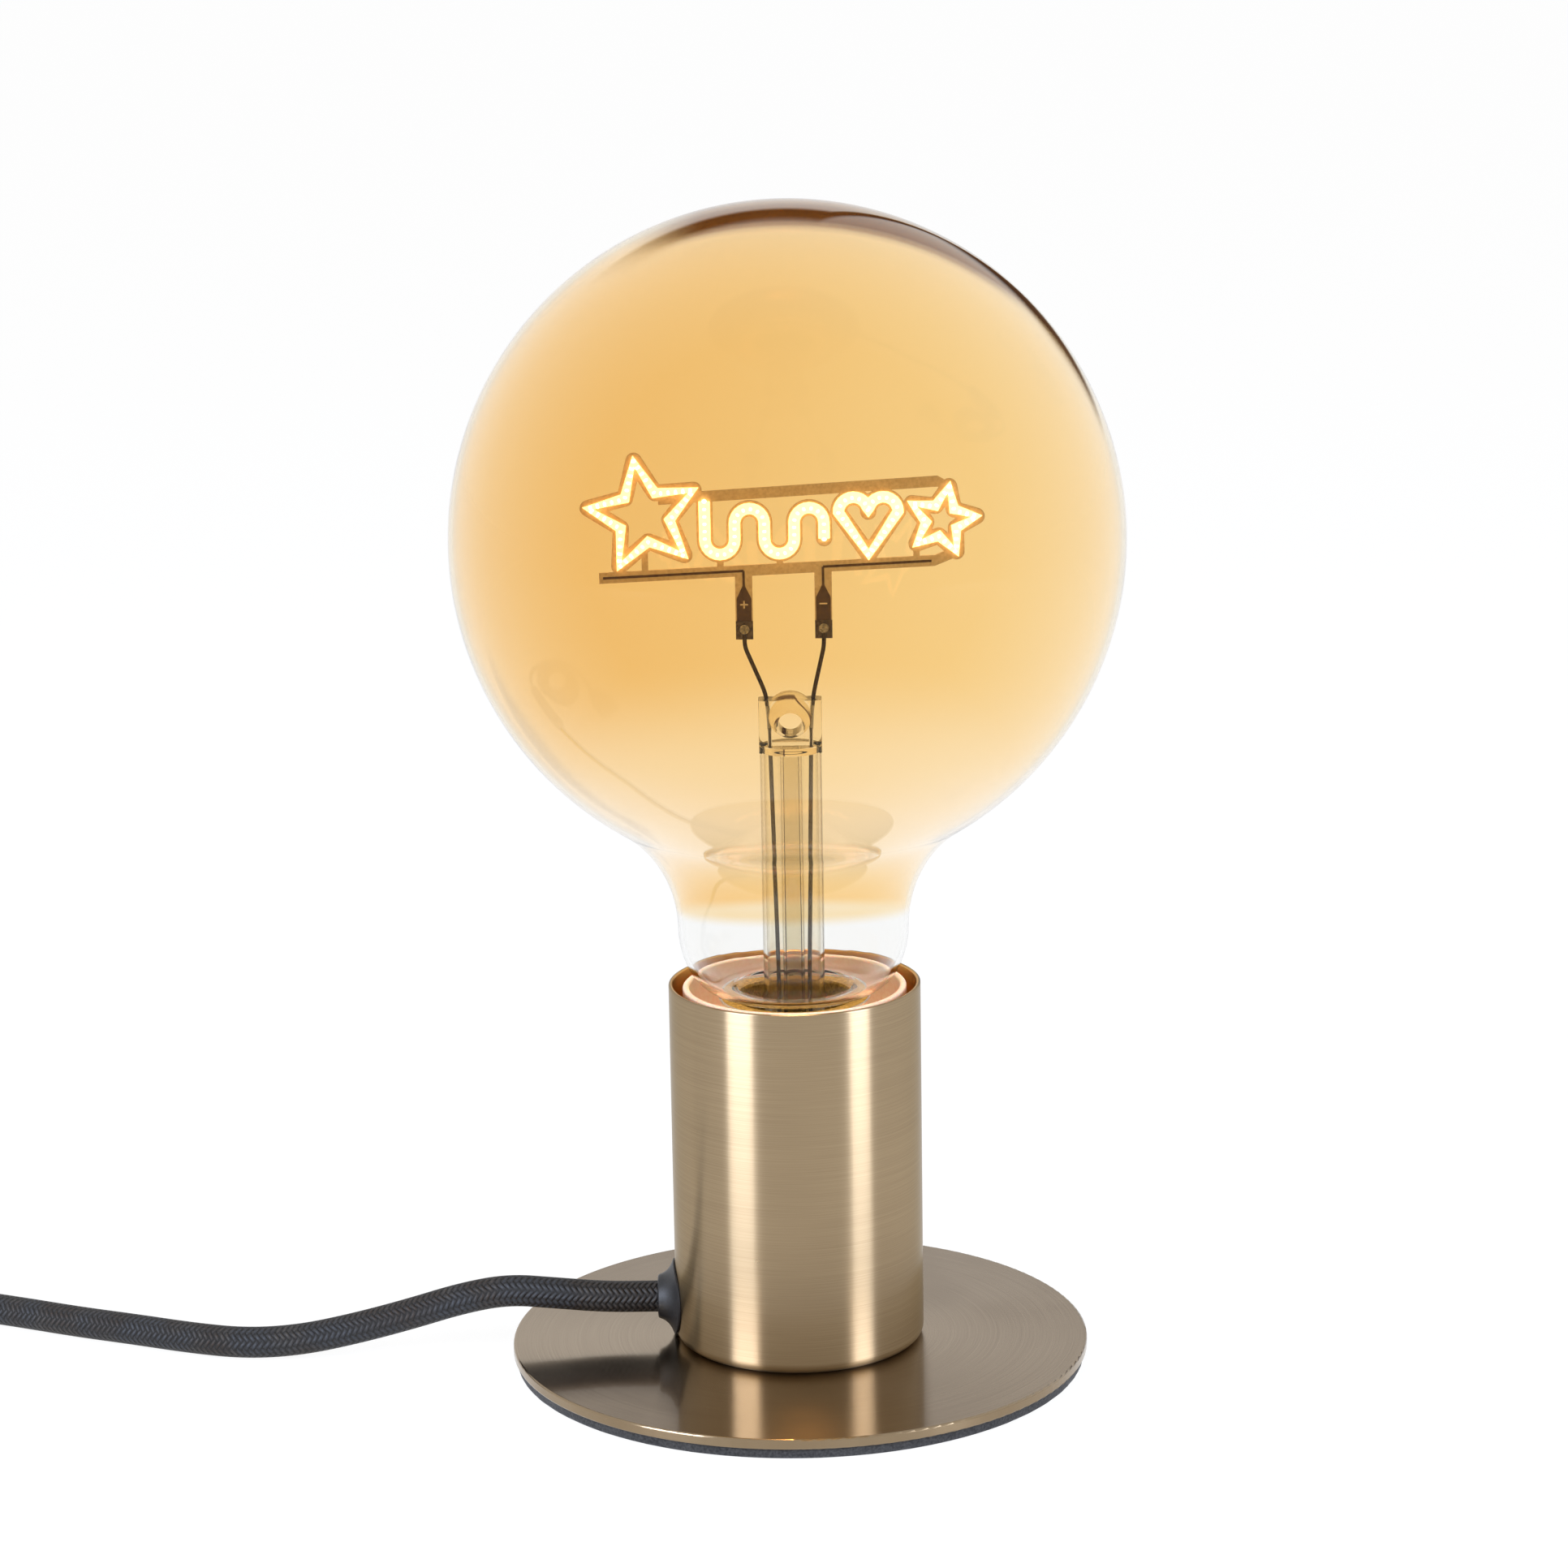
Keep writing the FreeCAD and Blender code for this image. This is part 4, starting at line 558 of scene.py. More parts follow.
# stuff that shines by itself, with a slight mottle as in poured silicone
def glowingStuff(name, glow):
    mottleSize = 0.6 * mm
    material, tree, shader = startMaterial(name, {
        "Base Color": glow["body"], "Roughness": 0.5, "Emission Strength": glow["strength"],
    })
    place = addNode(tree, "ShaderNodeTexCoord").outputs["Object"]
    grain = addNode(tree, "ShaderNodeTexNoise", {"Scale": 1 / mottleSize, "Detail": 1.0, "Vector": place})
    colour = addNode(tree, "ShaderNodeMix", {
        "data_type": "RGBA", "Factor": grain, 6: glow["deep"], 7: glow["bright"],
    })
    setNode(tree, shader, {"Emission Color": colour.outputs[2]})
    return material


finishes = {
    "polyesterBraid": wovenBraid(),
    "brushedBrassCup": brushedBrass("brushedBrassCup", {
        "dark": "#968164", "pale": "#A89373", "bareWithPaintedGlow": "#E0A95A", "edgeTint": (0.6, 0.55, 0.46, 1),
        "roughness": 0.3, "anisotropy": 1.0, "lacquer": 0.4, "lacquerBlur": 0.22, "lineWidth": 0.13 * mm,
        "lineLength": 26 * mm, "cloud": 25 * mm, "insideRadius": 23.45 * mm, "insideLevel": 6.2 * mm,
    }, False),
    "brushedBrassPlate": brushedBrass("brushedBrassPlate", {
        "dark": "#88745A", "pale": "#98866C", "edgeTint": (1, 1, 1, 1), "roughness": 0.2, "anisotropy": 0.9,
        "lacquer": 0.25, "lacquerBlur": 0.06, "lineWidth": 0.16 * mm, "lineLength": 26 * mm,
        "cloud": 25 * mm,
    }, True),
    "amberCoatedGlass": amberGlass(),
    "drawnGlassTube": drawnGlass(),
}
glowLooks = {
    # phosphor in silicone over blue chips: an even warm glow
    "phosphorSilicone": {"body": "#FFE08A", "deep": "#FFC896", "bright": "#FFD6AE", "strength": 3.8},
    # lit chips under the phosphor: nearly white beads along each stroke
    "litChip": {"body": "#FFF2C8", "deep": "#FFE6CC", "bright": "#FFEEDD", "strength": 5.0},
}
# plain stuff: its dark and pale colour, the size of its grain in mm, and the CAD nodes that are made of it
stuffLooks = {
    # pressed wool felt: matt, mottled grey and black hair with a furry edge
    "pressedFelt": {
        "dark": "#141313", "pale": "#403E3D", "roughness": 0.95, "grain": 0.45, "relief": 0.9,
        "more": {"Sheen Weight": 0.2, "Sheen Roughness": 0.6},
    },
    # moulded rubber: nearly black with a blue tinge, satin, with soft highlights
    "mouldedRubber": {"dark": "#121214", "pale": "#1B1B1E", "roughness": 0.45, "grain": 0.5, "relief": 0.12},
    # bright zinc on pressed steel: cool and slightly cloudy
    "zincPlatedSteel": {
        "dark": "#A9ADB0", "pale": "#CBCED0", "roughness": 0.32, "grain": 0.6, "metallic": 1.0, "relief": 0.1,
        "nodes": [
            "plate_screws", "holder_bracket", "bracket_nuts", "holder_nipple", "nipple_nut", "nipple_washer",
            "clamp_screws", "rocker_pin", "switch_screws",
        ],
    },
    # moulded polyester, light and a little translucent, with painted warm light: its cream is tinted peach,
    # as the bulb's glow would tint it, besides the light that soaks in
    "creamThermoplastic": {
        "dark": "#F7DAC6", "pale": "#FCE7D6", "roughness": 0.4, "grain": 0.8, "relief": 0.06,
        "more": {"Subsurface Weight": 0.6, "Subsurface Radius": (0.004, 0.0024, 0.0016)},
        "nodes": ["holder_dome", "holder_skirt", "cord_clamp", "clamp_bar"],
    },
    # fired and glazed steatite: off-white with a wet gloss
    "glazedPorcelain": {
        "dark": "#E6E2D8", "pale": "#F3F0E8", "roughness": 0.2, "grain": 1.2, "relief": 0.05,
        "nodes": ["holder_core"],
    },
    # rolled brass strip: yellow, with a fine mill grain
    "rolledBrass": {
        "dark": "#B08C4A", "pale": "#D2AE66", "roughness": 0.3, "grain": 0.7, "metallic": 1.0, "relief": 0.1,
        "nodes": [
            "thread_sleeve", "centre_contact", "side_contact", "terminal_screws", "rocker_blade",
            "switch_contacts",
        ],
    },
    # rolled aluminium shell: pale grey with faint dents
    "rolledAluminium": {
        "dark": "#C2BFB6", "pale": "#DEDBD2", "roughness": 0.28, "grain": 0.5, "relief": 0.12,
        "metallic": 1.0, "nodes": ["bulb_cap"],
    },
    # baked capping cement: gritty olive gold
    "bulbCement": {
        "dark": "#8C6E2A", "pale": "#C9A550", "roughness": 0.7, "grain": 0.6, "relief": 0.5,
        "nodes": ["cap_cement"],
    },
    # black vitrite, poured and glossy
    "blackGlassInsulator": {
        "dark": "#0B0B0D", "pale": "#17171A", "roughness": 0.12, "grain": 1.0, "relief": 0.05,
        "nodes": ["cap_insulator"],
    },
    # tin solder, set from a melt: bright with shallow pits
    "softSolder": {
        "dark": "#5E5850", "pale": "#A8A298", "roughness": 0.25, "grain": 0.35, "relief": 0.4,
        "metallic": 1.0, "nodes": ["tip_contact", "solder_lugs"],
    },
    # drawn nickel wire, tinted by heat: dark and slightly glossy
    "nickelWire": {
        "dark": "#2E2418", "pale": "#514432", "roughness": 0.35, "grain": 0.4, "relief": 0.15,
        "metallic": 1.0, "nodes": ["lead_wires", "cap_wire"],
    },
    # punched strip, blackened where it was soldered
    "blackenedTabs": {
        "dark": "#3A3128", "pale": "#6B5B48", "roughness": 0.4, "grain": 0.4, "metallic": 0.8, "relief": 0.25,
        "nodes": ["filament_tabs"],
    },
    # epoxy and glass laminate, milled to shape: tan with a faint grain
    "tanLaminate": {
        "dark": "#C9B08A", "pale": "#DDC7A4", "roughness": 0.5, "grain": 0.5, "relief": 0.15,
        "nodes": ["filament_carrier"],
    },
    # etched copper under mask: brown lines
    "darkCopper": {
        "dark": "#442F19", "pale": "#5F4628", "roughness": 0.4, "grain": 0.5, "metallic": 0.6, "relief": 0.1,
    },
    # screen-printed ink: matt and pale
    "paleInk": {"dark": "#E0CCA6", "pale": "#EFDDBB", "roughness": 0.6, "grain": 0.3, "relief": 0.1},
    # green solder mask on a laminate board
    "boardLacquer": {
        "dark": "#0F4A25", "pale": "#1B6A37", "roughness": 0.3, "grain": 0.9, "relief": 0.1,
        "nodes": ["driver_board"],
    },
    # moulded epoxy, matt black with a fine sparkle
    "mouldedEpoxy": {
        "dark": "#141414", "pale": "#232324", "roughness": 0.45, "grain": 0.3, "relief": 0.3,
        "nodes": ["driver_parts", "switch_leads"],
    },
    # spark-eroded polycarbonate: black with a fine pebble
    "blackPolycarbonate": {
        "dark": "#141415", "pale": "#202022", "roughness": 0.34, "grain": 0.35, "relief": 0.22,
        "nodes": ["switch_base", "switch_cover", "plug_body", "pin_sleeves"],
    },
    # smooth moulded rocker, a shade paler from touch
    "blackRocker": {
        "dark": "#1B1B1D", "pale": "#2A2A2D", "roughness": 0.25, "grain": 0.5, "relief": 0.08,
        "nodes": ["switch_rocker"],
    },
    # soft vinyl, matt and slightly dusty
    "softElastomer": {
        "dark": "#151516", "pale": "#232325", "roughness": 0.6, "grain": 0.3, "relief": 0.25,
        "nodes": ["switch_sleeves", "plug_relief"],
    },
    # bright nickel over brass: mirror-like with faint wipe marks
    "nickelPlatedPin": {
        "dark": "#B4AFA5", "pale": "#D0CBC1", "roughness": 0.2, "grain": 0.8, "metallic": 1.0, "relief": 0.06,
        "nodes": ["plug_pins"],
    },
    # extruded vinyl, brown for live and blue for neutral
    "brownInsulation": {
        "dark": "#4B2C18", "pale": "#633B22", "roughness": 0.4, "grain": 0.6, "relief": 0.1,
        "nodes": ["live_core"],
    },
    "blueInsulation": {
        "dark": "#1C4A96", "pale": "#2A5FB4", "roughness": 0.4, "grain": 0.6, "relief": 0.1,
        "nodes": ["neutral_core"],
    },
    # woven nylon loop strap: matt black with a hairy face
    "wovenStrap": {"dark": "#151515", "pale": "#333231", "roughness": 0.85, "grain": 0.4, "relief": 0.8},
}


def dressNodes(names, material):
    for name in names:
        data = nodes[name].data
        if not data.materials:
            data.materials.append(material)
        for i in range(len(data.materials)):
            data.materials[i] = material


for name, look in glowLooks.items():
    finishes[name] = glowingStuff(name, look)
for name, look in stuffLooks.items():
    finishes[name] = grainedStuff(name, look)
    dressNodes(look.get("nodes", []), finishes[name])
dressNodes(["base_plate"], finishes["brushedBrassPlate"])
dressNodes(["glass_stem", "exhaust_tube"], finishes["drawnGlassTube"])
print("materials:", len(finishes))

# the two cords become pieces

cordRun = addPiece("cordRun", runMesh, finishes["polyesterBraid"])
cordLead = addPiece("cordLead", leadMesh, finishes["polyesterBraid"])
replacedCords = [(cordRun, ["cord_run", "inner_cord"]), (cordLead, ["cord_link", "cord_coil", "cord_tail"])]
for piece, replaced in replacedCords:
    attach(piece, "lamp")
    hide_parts(*replaced)

# globe of the bulb, with its neck and bowl

glassShape = {
    "globeRadius": 62.5, "globeLevel": 158.3, "globeSteps": 72, "wall": 0.9, "neckRadius": 21.8,
    "neckLevel": 84.92, "neckFillet": 24.0, "filletSteps": 20, "bowlSideRadius": 17.04, "sideSteps": 8,
    "bowlCornerRadius": 8.6, "cornerSteps": 14, "bowlBottom": 72.2, "ringRadius": 11.4, "ringStep": 0.4,
    "ringDrop": 0.1, "ringKnee": 70.6, "ringLow": 64.0, "sides": 160,
}


# outline of the glass as radius and height pairs, drawn in by an inset
def glassOutline(shape, inset):
    filletX = shape["neckRadius"] + shape["neckFillet"]
    sideX = shape["neckRadius"] - shape["bowlSideRadius"]
    neckZ = shape["neckLevel"]
    cornerZ = shape["bowlBottom"] + shape["bowlCornerRadius"]
    between = shape["bowlSideRadius"] - shape["bowlCornerRadius"]
    cornerX = sideX + math.sqrt(between ** 2 - (neckZ - cornerZ) ** 2)
    turnIn = math.degrees(math.atan2(shape["globeLevel"] - neckZ, -filletX))
    meet = math.degrees(math.atan2(cornerZ - neckZ, cornerX - sideX))
    globe, side = shape["globeRadius"] - inset, shape["bowlSideRadius"] - inset
    corner = shape["bowlCornerRadius"] - inset
    outline = arcPoints((0, shape["globeLevel"]), globe, 90, turnIn - 180, shape["globeSteps"])
    outline += arcPoints((filletX, neckZ), shape["neckFillet"] + inset, turnIn, 180, shape["filletSteps"])[1:]
    outline += arcPoints((sideX, neckZ), side, 0, meet, shape["sideSteps"])[1:]
    outline += arcPoints((cornerX, cornerZ), corner, meet, -90, shape["cornerSteps"])[1:]
    ring = shape["ringRadius"] - inset
    outline.append((ring + shape["ringStep"], shape["bowlBottom"] - shape["ringDrop"] + inset))
    return outline + [(ring, shape["ringKnee"]), (ring, shape["ringLow"])]


# turns radius and height pairs in mm round the upright axis; a pair at radius 0 becomes a pole
def turnedBuild(outline, sides, closed):
    build = bmesh.new()
    rings = []
    for radius, height in outline:
        around = [(radius * mm * math.cos(turn), radius * mm * math.sin(turn)) for turn in roundTurns(sides)]
        if radius < 0.001:
            around = [(0, 0)]
        rings.append([build.verts.new((x, y, height * mm)) for x, y in around])
    for upper, lower in zip(rings, rings[1:] + (rings[:1] if closed else [])):
        if len(upper) == 1 and len(lower) == 1:
            continue
        for k in range(sides):
            after = (k + 1) % sides
            left = (upper[k % len(upper)], lower[k % len(lower)])
            right = (lower[after % len(lower)], upper[after % len(upper)])
            build.faces.new(list(dict.fromkeys(left + right)))
    return build


bothWalls = glassOutline(glassShape, 0) + glassOutline(glassShape, glassShape["wall"])[::-1]
glassMesh = closeBuild("globeGlass", turnedBuild(bothWalls, glassShape["sides"], False), False)
glassMesh.shade_smooth()
globeGlass = addPiece("globeGlass", glassMesh, finishes["amberCoatedGlass"])
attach(globeGlass, "bulb")
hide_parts("bulb_glass")
print("globe glass:", len(glassMesh.polygons), "faces")

# felt pad under the plate

feltPad = {
    "radius": 54.65, "thick": 1.9, "edgeRound": 0.35, "edgeIn": 0.1, "edgeDown": 0.08, "roughness": 0.09,
    "tuft": 0.9, "sides": 220,
}


def makeFeltPad(pad):
    radius, thick, edge = pad["radius"], pad["thick"], pad["edgeRound"]
    shoulder, drop = radius - pad["edgeIn"], pad["edgeDown"]
    outline = [(0, thick), (radius * 0.5, thick), (radius - edge, thick), (shoulder, thick - drop)]
    outline += [(radius, thick - edge), (radius, thick * 0.6), (radius, thick * 0.4), (radius, edge)]
    outline += [(shoulder, drop), (radius - edge, 0), (radius * 0.5, 0), (0, 0)]
    mesh = closeBuild("feltPad", turnedBuild(outline, pad["sides"], False), False)
    for vertex in mesh.vertices:
        if vertex.co.xy.length > (radius - 2 * pad["edgeIn"]) * mm:
            shift = noise.noise(vertex.co / (pad["tuft"] * mm)) * pad["roughness"] * mm
            vertex.co.xy += vertex.co.xy.normalized() * (shift - pad["roughness"] * mm)
    smoothMesh(mesh)
    return mesh


padPiece = addPiece("feltPad", makeFeltPad(feltPad), finishes["pressedFelt"])
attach(padPiece, "lamp")
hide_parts("base_pad")
print("felt pad made")

# grommet: a hollow-sided rubber cone that hugs the cup where the cord comes out
grommetShape = {
    "cupRadius": 23.9, "level": 11.5, "sides": 72, "bore": 3.05, "boreEnd": 3.0, "neck": 5.0, "neckTop": 0.3,
    "neckDepth": 2.2, "flangeBack": 0.05, "lipStart": 1.0, "lipFade": 1.5,
    # radius round the cord, and height off the cup's wall
    "cone": [
        (7.0, -0.05), (7.3, 0.0), (7.32, 0.3), (6.9, 0.48), (6.2, 0.76), (5.6, 1.12), (5.1, 1.52),
        (4.7, 1.98), (4.4, 2.5), (4.25, 2.95), (4.1, 3.2), (3.85, 3.3), (3.4, 3.3), (3.12, 3.2),
    ],
}


def makeGrommet(size):
    neck, bore, depth = size["neck"], size["bore"], size["neckDepth"]
    rings = [(neck, -size["flangeBack"])] + size["cone"] + [(bore, size["boreEnd"]), (bore, -depth)]
    rings += [(neck, -depth), (neck, -size["neckTop"])]
    build = bmesh.new()
    rows = []
    for radius, lift in rings:
        row = []
        for turn in roundTurns(size["sides"]):
            y, z = radius * math.cos(turn), radius * math.sin(turn)
            wall = math.sqrt(size["cupRadius"] ** 2 - y ** 2)
            if lift > size["lipStart"]:  # the lip is flat, so the cup's curve fades out along the cone
                wall += (size["cupRadius"] - wall) * min((lift - size["lipStart"]) / size["lipFade"], 1)
            row.append(build.verts.new((-(wall + lift) * mm, y * mm, (size["level"] + z) * mm)))
        rows.append(row)
    for near, far in zip(rows, rows[1:] + rows[:1]):
        joinRings(build, near, far)
    mesh = closeBuild("cordGrommet", build)
    smoothMesh(mesh, 50)
    return mesh


grommetPiece = addPiece("cordGrommet", makeGrommet(grommetShape), finishes["mouldedRubber"])
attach(grommetPiece, "lamp")
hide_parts("grommet")
print("grommet made")

# cup: deep drawn, so its foot is rounded, which the CAD solid leaves out

cupShape = {
    "wall": 0.8, "footRound": 2.0, "rimRound": 0.3, "sides": 144, "footSteps": 8, "rimSteps": 4,
    "cordHole": 5.0, "patchHalf": 5.5, "patchRings": 12, "patchReach": 6.3, "near": 0.01,
}


# opens a round hole for the cord in one wall of the cup and gives its rim, in order round the hole
def openWall(build, wall, size):
    level, near = grommetShape["level"], size["near"]

    def angleOf(vert):
        return math.atan2(vert.co.z / mm - level, vert.co.y / mm)

    def inPatch(vert):
        x, y, z = vert.co / mm
        byHole = x < 0 and abs(y) < size["patchReach"] and abs(z - level) < size["patchHalf"] + near
        return byHole and abs(math.hypot(x, y) - wall) < near

    patch = [face for face in build.faces if all(inPatch(vert) for vert in face.verts)]
    edges = [edge for face in patch for edge in face.edges]
    border = [tuple(edge.verts) for edge in edges if sum(other in patch for other in edge.link_faces) == 1]
    rim = {}
    for vert in dict.fromkeys(vert for pair in border for vert in pair):
        y, z = size["cordHole"] * math.cos(angleOf(vert)), size["cordHole"] * math.sin(angleOf(vert))
        rim[vert] = build.verts.new((-math.sqrt(wall ** 2 - y ** 2) * mm, y * mm, (level + z) * mm))
    bmesh.ops.delete(build, geom=patch, context="FACES")
    for one, two in border:
        build.faces.new((one, two, rim[two], rim[one]))
    return sorted(rim.values(), key=angleOf)


def makeCup(size):
    low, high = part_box("cup")
    radius, bottom, top = high[0] / mm, low[2] / mm, high[2] / mm
    inside, floor = radius - size["wall"], bottom + size["wall"]
    foot, rim = size["footRound"], size["rimRound"]
    innerFoot = foot - size["wall"]
    span, rings = size["patchHalf"], size["patchRings"]
    levels = [grommetShape["level"] - span + 2 * span * k / (rings - 1) for k in range(rings)]
    outline = arcPoints((radius - foot, bottom + foot), foot, -90, 0, size["footSteps"])
    outline += [(radius, level) for level in levels]
    outline += arcPoints((radius - rim, top - rim), rim, 0, 90, size["rimSteps"])
    outline += arcPoints((inside + rim, top - rim), rim, 90, 180, size["rimSteps"])
    outline += [(inside, level) for level in levels[::-1]]
    innerRound = arcPoints((inside - innerFoot, floor + innerFoot), innerFoot, -90, 0, size["footSteps"])
    outline += innerRound[::-1] + [(0, floor), (0, bottom)]
    build = turnedBuild(outline, size["sides"], True)
    joinRings(build, openWall(build, radius, size), openWall(build, inside, size))
    bmesh.ops.delete(build, geom=[vert for vert in build.verts if not vert.link_faces], context="VERTS")
    mesh = closeBuild("drawnCup", build)
    smoothMesh(mesh, 35)
    return mesh


cupPiece = addPiece("drawnCup", makeCup(cupShape), finishes["brushedBrassCup"])
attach(cupPiece, "lamp")
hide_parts("cup")
print("cup made", len(cupPiece.data.polygons))

# filament: a glowing garland with its chips

garland = {
    "level": 153.2, "coatRadius": 1.12, "chipSpacing": 1.37, "chipRadius": 0.5, "chipOffset": 0.72,
    "innerShare": 0.46, "starTips": 5, "roundSteps": 12,
    "bigStar": {"x": -26.4, "level": 10.0, "reach": 10.4, "turn": 9.0},
    "smallStar": {"x": 28.6, "level": 8.4, "reach": 6.4, "turn": -12.0},
    "wave": {"start": -15.2, "level": 6.9, "radius": 2.75, "rise": 3.0, "stem": 12.6, "bumps": 4},
    "heart": {"x": 15.0, "level": 10.2, "radius": 2.75, "drop": 8.0},
}


# half a circle over a span of 2 radii, up or down
def halfRound(x, level, radius, way):
    steps = garland["roundSteps"]
    turns = [math.pi * (1 - step / steps) for step in range(steps + 1)]
    return [(x + radius + radius * math.cos(turn), level + way * radius * math.sin(turn)) for turn in turns]


def starPoints(star):
    points = []
    for k in range(2 * garland["starTips"]):
        angle = math.radians(90 + star["turn"] + k * 180 / garland["starTips"])
        size = star["reach"] * garland["innerShare"] if k % 2 else star["reach"]
        points.append((star["x"] + size * math.cos(angle), star["level"] + size * math.sin(angle)))
    return points


# a stem, then half rounds joined by straight sides
def wavePoints(wave):
    x = wave["start"]
    points = [(x, wave["stem"])]
    for k in range(wave["bumps"]):
        way = 1 if k % 2 else -1
        level = wave["level"] + way * wave["rise"] / 2
        points += halfRound(x, level, wave["radius"], way)
        x += 2 * wave["radius"]
    return points + [(x, level - wave["rise"])]


def heartPoints(heart):
    left = halfRound(heart["x"] - 2 * heart["radius"], heart["level"], heart["radius"], 1)
    right = halfRound(heart["x"], heart["level"], heart["radius"], 1)
    return left + right[1:] + [(heart["x"], heart["level"] - heart["drop"])]


# strokes as x and height in mm, and whether each is closed
garlandStrokes = [
    (starPoints(garland["bigStar"]), True),
    (wavePoints(garland["wave"]), False),
    (heartPoints(garland["heart"]), True),
    (starPoints(garland["smallStar"]), True),
]


def startTree(name, inputs):
    tree = bpy.data.node_groups.new(name, "GeometryNodeTree")
    tree.interface.new_socket(name="Geometry", in_out="INPUT", socket_type="NodeSocketGeometry")
    tree.interface.new_socket(name="Geometry", in_out="OUTPUT", socket_type="NodeSocketGeometry")
    for label, kind in inputs:
        tree.interface.new_socket(name=label, in_out="INPUT", socket_type=kind)
    return tree, addNode(tree, "NodeGroupInput"), addNode(tree, "NodeGroupOutput")


# runs a tree on an object, keeps the result as a plain mesh piece and removes the object
def treeMesh(name, base, tree, values):
    modifier = base.modifiers.new(tree.name, "NODES")
    modifier.node_group = tree
    for item in tree.interface.items_tree:
        if item.item_type == "SOCKET" and item.in_out == "INPUT" and item.name in values:
            modifier[item.identifier] = values[item.name]
    evaluated = base.evaluated_get(bpy.context.evaluated_depsgraph_get())
    mesh = bpy.data.meshes.new_from_object(evaluated)
    mesh.name = name
    base.modifiers.remove(modifier)
    bpy.data.objects.remove(base)
    return mesh


# coat: a tube along each stroke; chips: small beads at even steps on its front and back
def garlandTree():
    tree, given, result = startTree("garlandStrokes", [
        ("Coat Radius", "NodeSocketFloat"), ("Chip Spacing", "NodeSocketFloat"),
        ("Chip Radius", "NodeSocketFloat"), ("Chip Offset", "NodeSocketFloat"),
    ])
    ring = addNode(tree, "GeometryNodeCurvePrimitiveCircle", {
        "Resolution": 12, "Radius": given.outputs["Coat Radius"],
    })
    tube = addNode(tree, "GeometryNodeCurveToMesh", {
        "Fill Caps": True, "Curve": given.outputs["Geometry"], "Profile Curve": ring.outputs["Curve"],
    })
    coated = addNode(tree, "GeometryNodeSetMaterial", {
        "Material": finishes["phosphorSilicone"], "Geometry": tube.outputs["Mesh"],
    })
    points = addNode(tree, "GeometryNodeCurveToPoints", {
        "mode": "LENGTH", "Curve": given.outputs["Geometry"], "Length": given.outputs["Chip Spacing"],
    })
    bead = addNode(tree, "GeometryNodeMeshUVSphere", {
        "Segments": 10, "Rings": 6, "Radius": given.outputs["Chip Radius"],
    })
    joined = addNode(tree, "GeometryNodeJoinGeometry")
    for way in (1.0, -1.0):
        reach = addNode(tree, "ShaderNodeMath", {
            "operation": "MULTIPLY", 0: given.outputs["Chip Offset"], 1: way,
        })
        shift = addNode(tree, "ShaderNodeCombineXYZ", {2: reach})
        placed = addNode(tree, "GeometryNodeSetPosition", {
            "Geometry": points.outputs["Points"], "Offset": shift,
        })
        beads = addNode(tree, "GeometryNodeInstanceOnPoints", {
            "Points": placed, "Instance": bead.outputs["Mesh"],
        })
        tree.links.new(beads.outputs[0], joined.inputs[0])
    solid = addNode(tree, "GeometryNodeRealizeInstances", {"Geometry": joined})
    lit = addNode(tree, "GeometryNodeSetMaterial", {"Material": finishes["litChip"], "Geometry": solid})
    both = addNode(tree, "GeometryNodeJoinGeometry")
    tree.links.new(coated.outputs[0], both.inputs[0])
    tree.links.new(lit.outputs[0], both.inputs[0])
    smooth = addNode(tree, "GeometryNodeSetShadeSmooth", {"Geometry": both})
    setNode(tree, result, {0: smooth})
    return tree


# the strokes are drawn flat, then stood up in the plane of the carrier
def strokeCurve(name, strokes):
    curve = bpy.data.curves.new(name, "CURVE")
    curve.dimensions = "3D"
    curve.twist_mode = "Z_UP"
    for points, closed in strokes:
        spline = curve.splines.new("POLY")
        spline.points.add(len(points) - 1)
        for point, (x, level) in zip(spline.points, points):
            point.co = (x * mm, level * mm, 0, 1)
        spline.use_cyclic_u = closed
    base = bpy.data.objects.new(name, curve)
    scene.collection.objects.link(base)
    return base


standUp = Matrix.Translation((0, 0, garland["level"] * mm)) @ Matrix.Rotation(math.pi / 2, 4, "X")
garlandMesh = treeMesh("garlandGlow", strokeCurve("garlandStrokes", garlandStrokes), garlandTree(), {
    "Coat Radius": garland["coatRadius"] * mm, "Chip Spacing": garland["chipSpacing"] * mm,
    "Chip Radius": garland["chipRadius"] * mm, "Chip Offset": garland["chipOffset"] * mm,
})
garlandMesh.transform(standUp)
garlandGlow = addPiece("garlandGlow", garlandMesh)
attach(garlandGlow, "bulb")
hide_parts("led_strokes")
print("garland:", len(garlandMesh.polygons), "faces, materials", len(garlandMesh.materials))

# conductor tracks and polarity marks on the carrier

tracks = {
    "face": -0.27, "thick": 0.05, "railTrack": 0.45, "railLeft": -34.2, "railRight": 26.6, "tabLeft": -8.2,
    "tabRight": 6.5, "tabHalf": 1.35, "tabNeck": -3.3, "tabShoulder": -5.6, "tabEnd": -12.6,
    "markLevel": -6.8, "markThin": 0.13, "markLong": 0.72, "markGap": 0.01, "markThick": 0.04,
}
# the carrier's lower rail, which rises to the right
rail = {"start": -34.9, "low": -1.5, "span": 62.1, "rise": 2.4}


def railLevel(x):
    return rail["low"] + rail["rise"] * (x - rail["start"]) / rail["span"]


# flat shapes in the plane of the carrier, each a list of x and height in mm
def flatMesh(name, shapes, face, thick):
    build = bmesh.new()
    for corners in shapes:
        front, back = [
            [build.verts.new((x * mm, depth * mm, (garland["level"] + z) * mm)) for x, z in corners]
            for depth in (face - thick, face)
        ]
        build.faces.new(front)
        build.faces.new(reversed(back))
        joinRings(build, back, front)
    return closeBuild(name, build)


